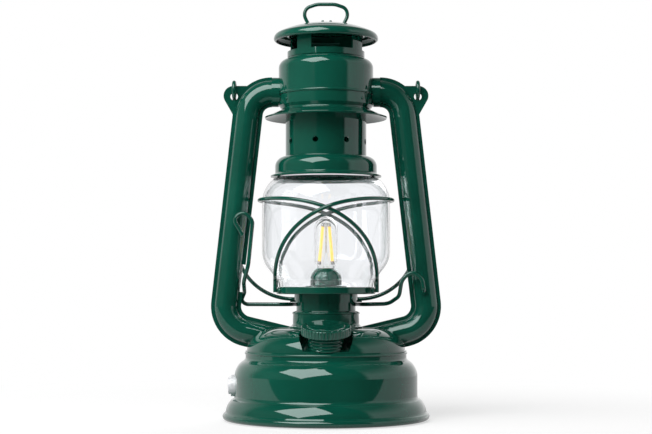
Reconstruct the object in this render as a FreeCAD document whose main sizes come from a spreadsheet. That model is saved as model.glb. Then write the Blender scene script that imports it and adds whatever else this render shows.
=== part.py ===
# Camping lantern of the hurricane pattern with an electric filament bulb.
# Millimetres, +Z up, origin at the centre of the base on the ground, filler cap towards -Y.
import FreeCAD, Part
import Sketcher
import math
import os
from FreeCAD import Placement, Rotation, Vector

doc = FreeCAD.newDocument("CampingLantern")
X_AXIS = Vector(1, 0, 0)
Y_AXIS = Vector(0, 1, 0)
Z_AXIS = Vector(0, 0, 1)

# Driving dimensions: name, value, what it measures
DIMENSIONS = (
    ("sheet_wall", 0.9, "pressed sheet of base, dome, neck and chamber"),
    ("slide_gap", 0.35, "radial gap between pieces that slide"),
    ("seat_gap", 0.2, "gap where a moving piece rests on its seat"),
    ("wire_diameter", 2.6, "lift lever and carrying bail"),
    ("rim_radius", 67.4, "rolled rim of the base"),
    ("rim_lift", 0.6, "rim above the ground"),
    ("drum_radius", 59.6, "straight wall of the base"),
    ("drum_bottom", 16.2, "height where the straight wall starts"),
    ("drum_top", 29.5, "height where the base shoulder starts"),
    ("collar_radius", 52.5, "collar that holds the dome"),
    ("collar_bottom", 40.6, "height of the groove under the collar"),
    ("collar_top", 45.4, "top edge of the base shell"),
    ("plate_thickness", 1.2, "bottom plate"),
    ("rim_roll", 2.5, "roll of the base rim"),
    ("flare_step", 2.0, "fillet between flare and straight wall, across"),
    ("flare_rise", 2.6, "that fillet, upwards"),
    ("flare_fillet", 2.7, "bend of that fillet"),
    ("flare_bend", 12.6, "bend of the base flare"),
    ("plate_bottom", 1.5, "underside of the bottom plate"),
    ("foot_radius", 6.0, "rubber foot"),
    ("foot_circle", 46.0, "radius of the circle of feet"),
    ("screw_radius", 1.5, "bottom plate screw"),
    ("boss_width", 10.0, "screw boss, along the wall"),
    ("boss_depth", 8.6, "screw boss, from the wall inwards"),
    ("boss_height", 24.5, "screw boss"),
    ("cell_radius", 9.2, "battery cell"),
    ("cell_length", 65.0, "battery cell"),
    ("cell_pitch", 19.4, "distance between battery cells"),
    ("tray_floor", 1.6, "floor under the cells"),
    ("tray_height", 9.5, "battery tray"),
    ("board_width", 60.0, "circuit board along X"),
    ("board_length", 82.0, "circuit board along Y"),
    ("board_thickness", 1.6, "circuit board"),
    ("board_height", 30.0, "underside of the circuit board"),
    ("board_shift", -4.0, "centre of the circuit board along Y"),
    ("post_radius", 2.5, "post under the circuit board"),
    ("dome_flat", 59.9, "flat top of the dome"),
    ("dome_flat_radius", 33.0, "radius where the shoulder meets the flat"),
    ("neck_flare_radius", 24.0, "foot of the burner neck"),
    ("neck_lower_radius", 21.7, "lower drum of the burner neck"),
    ("neck_step", 69.0, "height of the step in the burner neck"),
    ("neck_radius", 19.4, "upper drum of the burner neck"),
    ("neck_top", 86.5, "top of the burner neck"),
    ("lead_radius", 1.6, "lamp lead and charging lead"),
    ("cone_flange_radius", 13.6, "flange of the burner cone"),
    ("cone_radius", 10.4, "burner cone at its foot"),
    ("cone_top", 99.3, "top of the burner cone"),
    ("bulb_radius", 7.6, "glass of the bulb"),
    ("bulb_top", 133.0, "tip of the bulb"),
    ("bulb_wall", 0.8, "glass of the bulb"),
    ("bulb_neck", 5.2, "neck of the bulb"),
    ("bulb_cap_radius", 6.8, "screw cap of the bulb"),
    ("filament_radius", 0.9, "filament rod"),
    ("filament_low", 102.0, "lower end of the filaments"),
    ("filament_high", 127.0, "upper end of the filaments"),
    ("filament_spread", 5.0, "filament distance from the axis at the lower end"),
    ("filament_close", 2.4, "filament distance from the axis at the upper end"),
    ("filler_tilt", 13.0, "forward tilt of the filler, degrees"),
    ("filler_forward", 41.0, "filler axis in front of the lantern axis"),
    ("filler_height", 48.2, "height of the filler's reference point"),
    ("filler_neck_radius", 11.5, "thread crest of the filler neck"),
    ("filler_neck_bore", 9.6, "bore of the filler neck"),
    ("filler_neck_length", 12.3, "filler neck above its reference point"),
    ("pocket_floor", 0.3, "floor of the filler's pocket above its reference point"),
    ("thread_pitch", 2.0, "filler thread"),
    ("thread_depth", 0.7, "filler thread"),
    ("cap_radius", 15.7, "filler cap"),
    ("cap_side", 5.2, "height of the filler cap's knurled side"),
    ("cap_roof", 1.3, "thickness of the filler cap's roof"),
    ("knurl_depth", 0.35, "grooves of the filler cap's side"),
    ("gasket_thickness", 0.7, "sealing ring in the filler cap"),
    ("button_height", 22.4, "axis of the push button"),
    ("button_radius", 5.6, "push button"),
    ("button_proud", 1.9, "push button in front of its bezel"),
    ("button_length", 10.5, "push button"),
    ("bezel_radius", 7.0, "bezel flange"),
    ("bezel_proud", 2.3, "bezel flange in front of the wall"),
    ("bezel_barrel", 6.4, "bezel barrel through the wall"),
    ("bezel_depth", 9.6, "bezel barrel behind the wall"),
    ("tube_radius", 7.8, "rounded part of a side tube"),
    ("tube_wall", 0.75, "pressed half shell of a side tube"),
    ("tube_flange", 9.85, "half width of a side tube across its flanges"),
    ("tube_start", 35.6, "side tube's upper end from the axis"),
    ("tube_top", 214.8, "centre line of the side tube's upper arm"),
    ("tube_shoulder", 49.9, "corner of the centre line at the top"),
    ("tube_elbow", 67.0, "corner of the centre line at the bottom"),
    ("tube_elbow_height", 61.2, "height of the bottom corner"),
    ("tube_end", 26.2, "inner end of the lower arm, beside the neck"),
    ("tube_end_height", 51.4, "height of that inner end"),
    ("shoulder_bend", 15.5, "bend of the centre line at the top"),
    ("elbow_bend", 17.0, "bend of the centre line at the bottom"),
    ("socket_radius", 9.7, "collar between chamber and side tube"),
    ("ear_centre", 61.0, "centre of the ear's round end"),
    ("ear_height", 212.5, "height of that centre"),
    ("ear_radius", 6.5, "round end of the ear"),
    ("ear_hole_radius", 2.5, "hole for the bail's eye"),
    ("eye_centre", 60.5, "bail eye from the axis"),
    ("eye_height", 216.5, "height of the bail's hinge line"),
    ("eye_ring", 4.85, "bail eye, centre line radius"),
    ("bail_length", 144.0, "hinge line to the middle of the grip"),
    ("bail_corner", 38.0, "corner of the bail"),
    ("bail_rest", 16.5, "bail behind the vertical at rest, degrees"),
    ("chamber_radius", 31.2, "air chamber under the hood"),
    ("chamber_seam", 212.4, "height of the chamber's seam"),
    ("chamber_shoulder", 230.5, "height of the chamber's shoulder"),
    ("chamber_top", 236.8, "top edge of the chamber"),
    ("chamber_mouth", 25.9, "top opening of the chamber, outside"),
    ("skirt_radius", 40.3, "flared skirt under the chamber"),
    ("skirt_height", 198.0, "lower edge of the skirt"),
    ("waist_radius", 28.9, "groove between skirt and chamber"),
    ("waist_height", 203.2, "height of that groove"),
    ("chimney_radius", 26.6, "chimney tube"),
    ("chimney_foot", 172.2, "lower end of the chimney tube"),
    ("chimney_step", 208.0, "height of the spring seat"),
    ("stem_radius", 24.4, "chimney tube inside the chamber and above it"),
    ("stem_top", 240.8, "top of the chimney tube"),
    ("vent_radius", 1.9, "vent hole in the chimney tube"),
    ("vent_height", 181.5, "height of the vent holes"),
    ("vent_start", 210.0, "direction of the first vent hole, degrees"),
    ("bell_radius", 33.5, "cap on the globe"),
    ("bell_flange", 36.4, "flange of the globe cap"),
    ("bell_bottom", 158.8, "lower edge of the globe cap"),
    ("bell_shoulder", 165.5, "height of the globe cap's shoulder"),
    ("post_ring_radius", 25.5, "crenellated ring under the hood"),
    ("post_ring_bottom", 237.3, "lower edge of the crenellated ring"),
    ("window_bottom", 241.2, "lower edge of a window"),
    ("window_top", 251.6, "upper edge of a window"),
    ("window_angle", 65.0, "width of a window, degrees"),
    ("window_start", 68.0, "direction where the first window starts, degrees"),
    ("hood_radius", 34.5, "hood"),
    ("hood_edge", 248.4, "lower edge of the hood"),
    ("hood_top", 260.0, "top of the hood"),
    ("ring_wire", 2.4, "wire of the top ring"),
    ("ring_foot", 11.6, "foot of the top ring from the axis"),
    ("ring_width", 14.4, "widest corner of the top ring"),
    ("ring_top", 273.3, "centre line of the top ring's top"),
    ("globe_radius", 42.0, "glass globe"),
    ("globe_wall", 1.8, "glass globe"),
    ("globe_foot", 30.8, "lower mouth of the globe, outside"),
    ("globe_mouth", 31.3, "upper mouth of the globe, outside"),
    ("globe_low", 110.5, "height where the globe's straight wall starts"),
    ("globe_high", 142.0, "height where the globe's straight wall ends"),
    ("plate_radius", 32.5, "globe plate"),
    ("plate_floor", 82.0, "underside of the globe plate"),
    ("plate_rim", 86.7, "top of the globe plate's rim"),
    ("sleeve_foot", 23.5, "flange at the foot of the globe plate's sleeve"),
    ("sleeve_bottom", 76.75, "underside of that flange"),
    ("guard_wire", 2.5, "guard wire round the globe"),
    ("guard_reach", 43.9, "guard wire from the axis"),
    ("guard_top", 143.4, "highest point of a guard wire"),
    ("guard_foot", 33.0, "foot of a guard wire along X"),
    ("guard_fullness", 2.4, "2 bends a guard wire as an ellipse, more makes it squarer"),
    ("pivot_inset", 0.96, "lift lever's pivot inside the tube's centre line"),
    ("lever_pivot_height", 84.0, "height of the lift lever's pivot"),
    ("lever_rod_height", 75.2, "rod of the lift lever"),
    ("lever_front", 12.0, "lever in front of the right side tube"),
    ("crook_front", 10.5, "lever's hand crook in front of the left side tube"),
    ("lever_bow", 21.8, "lever's bow behind the burner neck"),
    ("bush_radius", 2.5, "bush of the lever's pivot"),
    ("bush_gap", 0.06, "radial gap of the lever in its bush"),
)


class Size:
    """A number with the sheet expression that gives it."""

    def __init__(self, value, text):
        self.value = float(value)
        self.text = text

    def __add__(self, other):
        other = sized(other)
        return Size(self.value + other.value, f"({self.text} + {other.text})")

    def __sub__(self, other):
        other = sized(other)
        return Size(self.value - other.value, f"({self.text} - {other.text})")

    def __mul__(self, other):
        other = sized(other)
        return Size(self.value * other.value, f"({self.text} * {other.text})")

    def __truediv__(self, other):
        other = sized(other)
        return Size(self.value / other.value, f"({self.text} / {other.text})")

    def __neg__(self):
        return Size(-self.value, f"(-1 * {self.text})")

    def root(self):
        return Size(math.sqrt(self.value), f"sqrt({self.text})")


def sized(number):
    if isinstance(number, Size):
        return number
    return Size(number, f"({number:.6f})")


class Dimensions:
    """The sheet's cells by name."""


sheet = doc.addObject("Spreadsheet::Sheet", "Sizes")
dim = Dimensions()
for row, (name, value, meaning) in enumerate(DIMENSIONS, start=1):
    sheet.set(f"A{row}", meaning)
    sheet.set(f"B{row}", str(value))
    sheet.setAlias(f"B{row}", name)
    setattr(dim, name, Size(value, f"Sizes.{name}"))
doc.recompute()

wire_radius = dim.wire_diameter / 2


def bind(thing, **sizes):
    """Tie properties to the sheet; a double underscore stands for a dot."""
    for name, size in sizes.items():
        thing.setExpression(name.replace("__", "."), sized(size).text)


def place(thing, x=0, y=0, z=0, rotation=None):
    if rotation is not None:
        thing.Placement = Placement(Vector(), rotation)
    bind(thing, Placement__Base__x=x, Placement__Base__y=y, Placement__Base__z=z)
    return thing


def polar(radius, degrees):
    """X and Y of a point at a radius and a direction."""
    radius = sized(radius)
    angle = sized(degrees)
    turn = math.radians(angle.value)
    return (Size(radius.value * math.cos(turn), f"({radius.text} * cos({angle.text}))"),
            Size(radius.value * math.sin(turn), f"({radius.text} * sin({angle.text}))"))


TO_X = Rotation(Y_AXIS, 90)
TO_PLUS_Y = Rotation(X_AXIS, -90)
TO_MINUS_X = Rotation(Y_AXIS, -90)


def cylinder(name, radius, height, x=0, y=0, z=0, rotation=None):
    thing = doc.addObject("Part::Cylinder", name)
    bind(thing, Radius=radius, Height=height)
    return place(thing, x, y, z, rotation)


def box(name, length, width, height, x=0, y=0, z=0, rotation=None):
    """Box whose corner is at the given point."""
    thing = doc.addObject("Part::Box", name)
    bind(thing, Length=length, Width=width, Height=height)
    return place(thing, x, y, z, rotation)


def cut(name, base, *tools):
    """Base less one or more tools."""
    tool = tools[0]
    if len(tools) > 1:
        tool = doc.addObject("Part::MultiFuse", f"{name}_tools")
        tool.Shapes = list(tools)
    thing = doc.addObject("Part::Cut", name)
    thing.Base = base
    thing.Tool = tool
    return thing


def fuse(name, *pieces):
    thing = doc.addObject("Part::MultiFuse", name)
    thing.Shapes = list(pieces)
    return thing


def common(name, first, second):
    thing = doc.addObject("Part::Common", name)
    thing.Base = first
    thing.Tool = second
    return thing


def group(name, pieces):
    """Several like solids kept as one sub-part."""
    thing = doc.addObject("Part::Compound", name)
    thing.Links = list(pieces)
    return thing


def mirrored(name, source, normal):
    thing = doc.addObject("Part::Mirroring", name)
    thing.Source = source
    thing.Normal = normal
    return thing


def unit(vector):
    length = math.hypot(*vector)
    return (vector[0] / length, vector[1] / length)


def arc_centre(start, end, radius):
    """Centre of the shorter arc from start to end; a positive radius turns left."""
    chord = (end[0] - start[0], end[1] - start[1])
    half = math.hypot(*chord) / 2
    rise = math.sqrt(max(radius * radius - half * half, 0.0))
    along = unit(chord)
    side = 1 if radius > 0 else -1
    middle = ((start[0] + end[0]) / 2, (start[1] + end[1]) / 2)
    return (middle[0] - side * rise * along[1], middle[1] + side * rise * along[0])


def values(corner):
    return (sized(corner[0]).value, sized(corner[1]).value)


def bend_of(corner):
    """Signed radius of the arc that arrives at a corner, or None on a straight run."""
    return corner[2] if len(corner) > 2 else None


def draw(sketch, corners, closed=True):
    """Outline through the corners, each one tied to the sheet."""
    count = len(corners)
    runs = count if closed else count - 1
    ends = []
    joints = []
    limits = []
    ties = []
    for index in range(runs):
        start = values(corners[index])
        arrival = corners[(index + 1) % count]
        end = values(arrival)
        bend = bend_of(arrival)
        if bend is None:
            sketch.addGeometry(Part.LineSegment(Vector(*start, 0), Vector(*end, 0)))
            ends.append((1, 2))
        else:
            radius = sized(bend).value
            centre = arc_centre(start, end, radius)
            first, last = (start, end) if radius > 0 else (end, start)
            angles = [math.atan2(p[1] - centre[1], p[0] - centre[0]) for p in (first, last)]
            circle = Part.Circle(Vector(*centre, 0), Z_AXIS, abs(radius))
            sketch.addGeometry(Part.ArcOfCircle(circle, angles[0], angles[1]))
            ends.append((1, 2) if radius > 0 else (2, 1))
            limits.append(("Radius", index, abs(radius)))
            ties.append(sized(bend) if radius > 0 else -sized(bend))
        if index > 0:
            joints.append(("Coincident", index - 1, ends[index - 1][1], index, ends[index][0]))
    if closed:
        joints.append(("Coincident", runs - 1, ends[runs - 1][1], 0, ends[0][0]))
    for index, corner in enumerate(corners):
        point = (index, ends[index][0]) if index < runs else (runs - 1, ends[runs - 1][1])
        if isinstance(corner[0], Size):
            limits.append(("DistanceX", -1, 1, *point, corner[0].value))
            ties.append(corner[0])
        else:
            joints.append(("PointOnObject", *point, -2))
        limits.append(("DistanceY", -1, 1, *point, sized(corner[1]).value))
        ties.append(sized(corner[1]))
    sketch.addConstraint([Sketcher.Constraint(*joint) for joint in joints])
    sketch.addConstraint([Sketcher.Constraint(*limit) for limit in limits])
    for offset, tie in enumerate(ties):
        sketch.setExpression(f"Constraints[{len(joints) + offset}]", tie.text)


def body_sketch(body, plane, name):
    sketch = body.newObject("Sketcher::SketchObject", name)
    support = [item for item in body.Origin.OriginFeatures if item.Role == plane][0]
    sketch.AttachmentSupport = [(support, "")]
    sketch.MapMode = "FlatFace"
    return sketch


def turned(name, corners):
    """Body of revolution about Z from a closed outline of (radius, height) corners."""
    body = doc.addObject("PartDesign::Body", name)
    sketch = body_sketch(body, "XZ_Plane", f"{name}_outline")
    draw(sketch, corners)
    spin = body.newObject("PartDesign::Revolution", f"{name}_spin")
    spin.Profile = sketch
    spin.ReferenceAxis = (sketch, ["V_Axis"])
    spin.Angle = 360
    return body


def heading(path, index, arriving):
    """Direction of travel at a point of a path, before it or after it."""
    first, last = (index - 1, index) if arriving else (index, index + 1)
    start, end = values(path[first]), values(path[last])
    bend = bend_of(path[last])
    if bend is None:
        return unit((end[0] - start[0], end[1] - start[1]))
    radius = sized(bend).value
    centre = arc_centre(start, end, radius)
    here = end if arriving else start
    spoke = (here[0] - centre[0], here[1] - centre[1])
    side = 1 if radius > 0 else -1
    return unit((-side * spoke[1], side * spoke[0]))


def shell(path, wall):
    """Outline of a sheet whose outer face is the path and whose wall lies on its left."""
    inner = []
    last = len(path) - 1
    for index, corner in enumerate(path):
        before = heading(path, index, True) if index > 0 else heading(path, 0, False)
        after = heading(path, index, False) if index < last else heading(path, last, True)
        middle = unit((before[0] + after[0], before[1] + after[1]))
        stretch = 1 / (middle[0] * after[0] + middle[1] * after[1])
        shift = (-middle[1] * stretch, middle[0] * stretch)
        inner.append((sized(corner[0]) + wall * shift[0], sized(corner[1]) + wall * shift[1]))
    outline = [tuple(corner[:3]) for corner in path]
    outline[0] = outline[0][:2]
    outline.append(inner[last])
    for index in range(last, 0, -1):
        bend = bend_of(path[index])
        is_bead = len(path[index]) > 3
        if bend is None or is_bead:
            outline.append(inner[index - 1])
        else:
            outline.append((*inner[index - 1], -(sized(bend) - wall)))
    return outline


def drop_axis(outline):
    """Outline with the corners that lie on the axis pinned there."""
    return [(0, *corner[1:]) if abs(sized(corner[0]).value) < 1e-6 else corner for corner in outline]


def bent_wire(name, points, radius):
    """Round wire along straight runs joined by tangent bends; each point is (place, bend)."""
    places = [Vector(*(sized(part).value for part in point[0])) for point in points]
    edges = []
    here = places[0]
    for index in range(1, len(places) - 1):
        corner = places[index]
        back = (places[index - 1] - corner).normalize()
        ahead = (places[index + 1] - corner).normalize()
        half = back.getAngle(ahead) / 2
        reach = sized(points[index][1]).value / math.tan(half)
        start = corner + back * reach
        end = corner + ahead * reach
        inward = (back + ahead).normalize()
        middle = corner + inward * (sized(points[index][1]).value * (1 / math.sin(half) - 1))
        if (start - here).Length > 1e-6:
            edges.append(Part.LineSegment(here, start).toShape())
        edges.append(Part.Arc(start, middle, end).toShape())
        here = end
    edges.append(Part.LineSegment(here, places[-1]).toShape())
    return wire_along(name, edges, radius)


def wire_along(name, edges, radius):
    path = Part.Wire(edges)
    start = edges[0].valueAt(edges[0].FirstParameter)
    tangent = edges[0].tangentAt(edges[0].FirstParameter)
    ring = Part.Wire(Part.Circle(start, tangent, radius.value).toShape())
    thing = doc.addObject("Part::Feature", name)
    thing.Shape = path.makePipeShell([ring], True, False)
    return thing


def tangent_bend(aside, along):
    """Radius of an arc that starts or ends along one direction and moves aside from it."""
    return (aside * aside + along * along) / (aside * 2)


FIT_GAP = 0.05
QUARTERS = (45, 135, 225, 315)

# Base shell: one pressing with a rolled rim, a drum, a shoulder and a collar with a bead
shoulder_in = dim.drum_radius - dim.collar_radius
shoulder_up = dim.collar_bottom - dim.drum_top
base_path = [
    (dim.rim_radius - dim.rim_roll, dim.rim_lift),
    (dim.rim_radius, dim.rim_lift + dim.rim_roll, dim.rim_roll),
    (dim.rim_radius - dim.rim_roll * 0.6, dim.rim_lift + dim.rim_roll * 1.85, dim.rim_roll),
    (dim.rim_radius - dim.rim_roll * 0.84, dim.rim_lift + dim.rim_roll * 2.2),
    (dim.drum_radius + dim.flare_step, dim.drum_bottom - dim.flare_rise, dim.flare_bend),
    (dim.drum_radius, dim.drum_bottom, -dim.flare_fillet),
    (dim.drum_radius, dim.drum_top),
    (dim.drum_radius - shoulder_in * 0.34, dim.drum_top + shoulder_up * 0.58, shoulder_up * 1.2),
    (dim.drum_radius - shoulder_in * 0.78, dim.drum_top + shoulder_up * 0.84, shoulder_up * 0.93),
    (dim.collar_radius, dim.collar_bottom, -shoulder_up * 0.343),
    (dim.collar_radius, dim.collar_top - 2.5),
    (dim.collar_radius, dim.collar_top - 0.7, 1.0, "bead"),
    (dim.collar_radius, dim.collar_top),
]
base_shell_blank = turned("base_shell_blank", shell(base_path, dim.sheet_wall))
button_hole = cylinder("button_hole", dim.bezel_barrel + FIT_GAP, dim.drum_radius * 1.2,
                       z=dim.button_height, rotation=TO_MINUS_X)
base_shell = cut("base_shell", base_shell_blank, button_hole)

# Bottom plate on four screw bosses, with rubber feet under it
plate_top = dim.plate_bottom + dim.plate_thickness
drum_inside = dim.drum_radius - dim.sheet_wall
boss_circle = drum_inside - dim.boss_depth * 0.55
plate_blank = cylinder("plate_blank", dim.rim_radius - dim.rim_roll - 0.4, dim.plate_thickness,
                       z=dim.plate_bottom)
screw_holes = []
screws = []
bosses = []
feet = []
for index, angle in enumerate(QUARTERS):
    x, y = polar(boss_circle, angle)
    screw_holes.append(cylinder(f"screw_hole_{index}", dim.screw_radius + 0.2, dim.plate_thickness * 3,
                                x, y, dim.plate_bottom - dim.plate_thickness))
    head = cylinder(f"screw_head_{index}", dim.screw_radius * 1.9, dim.plate_bottom - dim.rim_lift,
                    x, y, dim.rim_lift)
    shank = cylinder(f"screw_shank_{index}", dim.screw_radius, dim.boss_height * 0.4,
                     x, y, dim.plate_bottom - 0.2)
    screws.append(fuse(f"screw_{index}", head, shank))
    corner_x, corner_y = polar(drum_inside - dim.boss_depth, angle)
    side_x, side_y = polar(dim.boss_width / 2, angle - 90)
    block = box(f"boss_block_{index}", dim.boss_depth * 2, dim.boss_width, dim.boss_height,
                corner_x + side_x, corner_y + side_y, plate_top, Rotation(Z_AXIS, angle))
    inside = cylinder(f"boss_limit_{index}", drum_inside - FIT_GAP, dim.drum_top * 2)
    pilot = cylinder(f"boss_pilot_{index}", dim.screw_radius + FIT_GAP, dim.boss_height * 0.5,
                     x, y, plate_top - 0.1)
    bosses.append(cut(f"boss_{index}", common(f"boss_in_wall_{index}", block, inside), pilot))
    foot_x, foot_y = polar(dim.foot_circle, angle - 45)
    feet.append(cylinder(f"foot_{index}", dim.foot_radius, dim.plate_bottom, foot_x, foot_y))
base_plate = cut("base_plate", plate_blank, *screw_holes)
base_plate_screws = group("base_plate_screws", screws)
screw_bosses = group("screw_bosses", bosses)
rubber_feet = group("rubber_feet", feet)

# Battery: three round cells in a tray that stands on the bottom plate
cell_height = plate_top + dim.tray_floor + dim.cell_radius + FIT_GAP
tray_length = dim.cell_length + 5
tray_width = dim.cell_pitch * 2 + dim.cell_radius * 2 + 3
tray_block = box("tray_block", tray_length, tray_width, dim.tray_height,
                 -tray_length / 2, -tray_width / 2, plate_top)
cells = []
pockets = []
for index, step in enumerate((-1, 0, 1)):
    row_y = dim.cell_pitch * step
    cells.append(cylinder(f"cell_{index}", dim.cell_radius, dim.cell_length,
                          -dim.cell_length / 2, row_y, cell_height, TO_X))
    pocket_length = dim.cell_length + 0.6
    pockets.append(cylinder(f"pocket_{index}", dim.cell_radius + FIT_GAP, pocket_length,
                            -pocket_length / 2, row_y, cell_height, TO_X))
battery_cells = group("battery_cells", cells)
battery_tray = cut("battery_tray", tray_block, *pockets)

# Circuit board on four posts, with the lamp lead rising from it
board_top = dim.board_height + dim.board_thickness
circuit_board = box("circuit_board", dim.board_width, dim.board_length, dim.board_thickness,
                    -dim.board_width / 2, dim.board_shift - dim.board_length / 2, dim.board_height)
posts = []
for side in (-1, 1):
    for end in (-1, 1):
        post_x = (dim.board_width / 2 - dim.post_radius * 1.6) * side
        post_y = dim.board_shift + (dim.board_length / 2 - dim.post_radius * 1.2) * end
        posts.append(cylinder(f"post_{len(posts)}", dim.post_radius, dim.board_height - plate_top,
                              post_x, post_y, plate_top))
board_posts = group("board_posts", posts)

# Dome on top of the base: a rim inside the collar, a rounded shoulder and a flat
dome_radius = dim.collar_radius - dim.sheet_wall - FIT_GAP
dome_side = dome_radius - dim.dome_flat_radius
dome_rise = dim.dome_flat - dim.collar_top
knee_in = dome_side * 0.293
knee_up = dome_rise * 0.707
dome_path = [
    (dome_radius, dim.collar_bottom + 0.5),
    (dome_radius, dim.collar_top),
    (dome_radius - knee_in, dim.collar_top + knee_up, tangent_bend(knee_in, knee_up)),
    (dim.dome_flat_radius, dim.dome_flat,
     tangent_bend(dome_rise - knee_up, dome_side - knee_in)),
    (dim.neck_radius, dim.dome_flat),
]
dome_blank = turned("dome_blank", shell(dome_path, dim.sheet_wall))


def on_filler(thing, across=0, back=0, along=0):
    """Stand a piece on the tilted filler axis."""
    tilt = dim.filler_tilt
    lean = math.radians(tilt.value)
    sine = Size(math.sin(lean), f"sin({tilt.text})")
    cosine = Size(math.cos(lean), f"cos({tilt.text})")
    thing.Placement = Placement(Vector(), Rotation(X_AXIS, tilt.value))
    bind(thing, Placement__Rotation__Angle=tilt)
    return place(thing, across, -dim.filler_forward + cosine * back - sine * along,
                 dim.filler_height + sine * back + cosine * along)


neck_depth = 4.0
filler_hole = on_filler(cylinder("filler_hole", dim.filler_neck_radius + FIT_GAP,
                                 dim.filler_neck_length * 3), along=-neck_depth * 1.5)
cap_bottom = dim.filler_neck_length + dim.gasket_thickness + 0.2 + dim.cap_roof - dim.cap_side
cap_room = 1.2
pocket_radius = dim.cap_radius + cap_room
pocket_cup = on_filler(cylinder("pocket_cup", pocket_radius + dim.sheet_wall, dim.filler_neck_length * 2),
                       along=dim.pocket_floor - dim.sheet_wall)
dome_outside = turned("dome_outside", [
    (0, dim.collar_bottom),
    *[(corner[0] + FIT_GAP, corner[1] + FIT_GAP, *corner[2:]) for corner in dome_path[:-1]],
    (0, dim.dome_flat + FIT_GAP),
])
pocket_wall = common("pocket_wall", pocket_cup, dome_outside)
pocket_recess = on_filler(cylinder("pocket_recess", pocket_radius, dim.filler_neck_length * 3),
                          along=dim.pocket_floor)
neck_opening = cylinder("neck_opening", dim.neck_radius, dim.dome_flat * 2)
tank_dome = cut("tank_dome", fuse("dome_with_pocket", dome_blank, pocket_wall), filler_hole, pocket_recess,
                neck_opening)

# Filler neck: a short pipe with a coarse thread, soldered into the dome
thread_root = dim.filler_neck_radius - dim.thread_depth
neck_outline = [(dim.filler_neck_bore, sized(-neck_depth)), (thread_root, sized(-neck_depth))]
ridge_count = 6
ridge_start = dim.filler_neck_length - dim.thread_pitch * ridge_count - 0.6
for ridge in range(ridge_count):
    foot = ridge_start + dim.thread_pitch * ridge
    neck_outline.append((thread_root, foot))
    neck_outline.append((dim.filler_neck_radius, foot + dim.thread_pitch * 0.4))
    neck_outline.append((dim.filler_neck_radius, foot + dim.thread_pitch * 0.6))
neck_outline.append((thread_root, ridge_start + dim.thread_pitch * ridge_count))
neck_outline.append((thread_root, dim.filler_neck_length))
neck_outline.append((dim.filler_neck_bore, dim.filler_neck_length))
filler_neck = on_filler(turned("filler_neck", neck_outline))

# Charging socket at the bottom of the filler neck, with its lead down to the board
socket_floor = 2.0
socket_depth = 5.0
socket_block = on_filler(cylinder("socket_block", dim.filler_neck_bore - FIT_GAP, sized(socket_depth)),
                         along=socket_floor)
socket_mouth_length = 9.2
socket_mouth_width = 3.4
socket_mouth = on_filler(box("socket_mouth", sized(socket_mouth_length), sized(socket_mouth_width),
                             sized(socket_depth)), across=-socket_mouth_length / 2,
                         back=-socket_mouth_width / 2, along=socket_floor + 1.5)
charge_socket = cut("charge_socket", socket_block, socket_mouth)
charge_lead_top = dim.filler_height - 0.6
charge_lead = cylinder("charge_lead", dim.lead_radius, charge_lead_top - board_top,
                       y=-dim.filler_forward, z=board_top)

# Filler cap with a knurled side, and the sealing ring under its roof
cap_top = cap_bottom + dim.cap_side
cap_bore = dim.filler_neck_radius + dim.slide_gap
cap_edge = 0.9
cap_blank = on_filler(turned("cap_blank", [
    (cap_bore, cap_bottom),
    (dim.cap_radius - 0.5, cap_bottom),
    (dim.cap_radius, cap_bottom + 0.5, 0.5),
    (dim.cap_radius, cap_top - cap_edge),
    (dim.cap_radius - cap_edge, cap_top, cap_edge),
    (dim.cap_radius - 3.2, cap_top - 0.05),
    (dim.cap_radius - 4.2, cap_top + 0.4, -1.4),
    (0, cap_top + 0.6),
    (0, cap_top - dim.cap_roof),
    (cap_bore, cap_top - dim.cap_roof),
]))
knurl_count = 44
knurl_radius = 0.85
knurls = []
for index in range(knurl_count):
    out, back = polar(dim.cap_radius + knurl_radius - dim.knurl_depth, 360 * index / knurl_count)
    knurls.append(on_filler(cylinder(f"knurl_{index}", sized(knurl_radius), dim.cap_side),
                            out, back, cap_bottom - 0.1))
filler_cap = cut("filler_cap", cap_blank, group("knurls", knurls))
gasket_bottom = dim.filler_neck_length + 0.1
filler_gasket = on_filler(turned("filler_gasket", [
    (dim.filler_neck_bore - 0.6, gasket_bottom),
    (dim.filler_neck_radius - 0.1, gasket_bottom),
    (dim.filler_neck_radius - 0.1, gasket_bottom + dim.gasket_thickness),
    (dim.filler_neck_bore - 0.6, gasket_bottom + dim.gasket_thickness),
]))

# Push button on the left of the base, in a bezel held by a nut, with the switch behind it
wall_face = -dim.drum_radius
bezel_face = wall_face - dim.bezel_proud
button_bore = dim.button_radius + dim.slide_gap / 2
bezel_flange = cylinder("bezel_flange", dim.bezel_radius, dim.bezel_proud * 2,
                        bezel_face, z=dim.button_height, rotation=TO_X)
base_outside = turned("base_outside", [
    (0, dim.rim_lift),
    *[(corner[0] + FIT_GAP / 2, *corner[1:3]) for corner in base_path],
    (0, dim.collar_top),
])
bezel_rim = cut("bezel_rim", bezel_flange, base_outside)
bezel_barrel = cylinder("bezel_tube", dim.bezel_barrel, dim.bezel_depth + dim.bezel_proud,
                        bezel_face, z=dim.button_height, rotation=TO_X)
bezel_hole = cylinder("bezel_hole", button_bore, dim.bezel_depth * 3,
                      bezel_face - dim.bezel_depth, z=dim.button_height, rotation=TO_X)
button_bezel = cut("button_bezel", fuse("bezel_solid", bezel_rim, bezel_barrel), bezel_hole)
nut_thickness = 3.0
nut_face = -drum_inside + 0.75
nut_blank = doc.addObject("Part::Prism", "nut_blank")
bind(nut_blank, Circumradius=dim.bezel_barrel * 1.5, Height=sized(nut_thickness))
place(nut_blank, nut_face, 0, dim.button_height, TO_X)
nut_hole = cylinder("nut_hole", dim.bezel_barrel + FIT_GAP, sized(nut_thickness * 3),
                    nut_face - nut_thickness, z=dim.button_height, rotation=TO_X)
button_nut = cut("button_nut", nut_blank, nut_hole)
button_face = bezel_face - dim.button_proud
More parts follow.
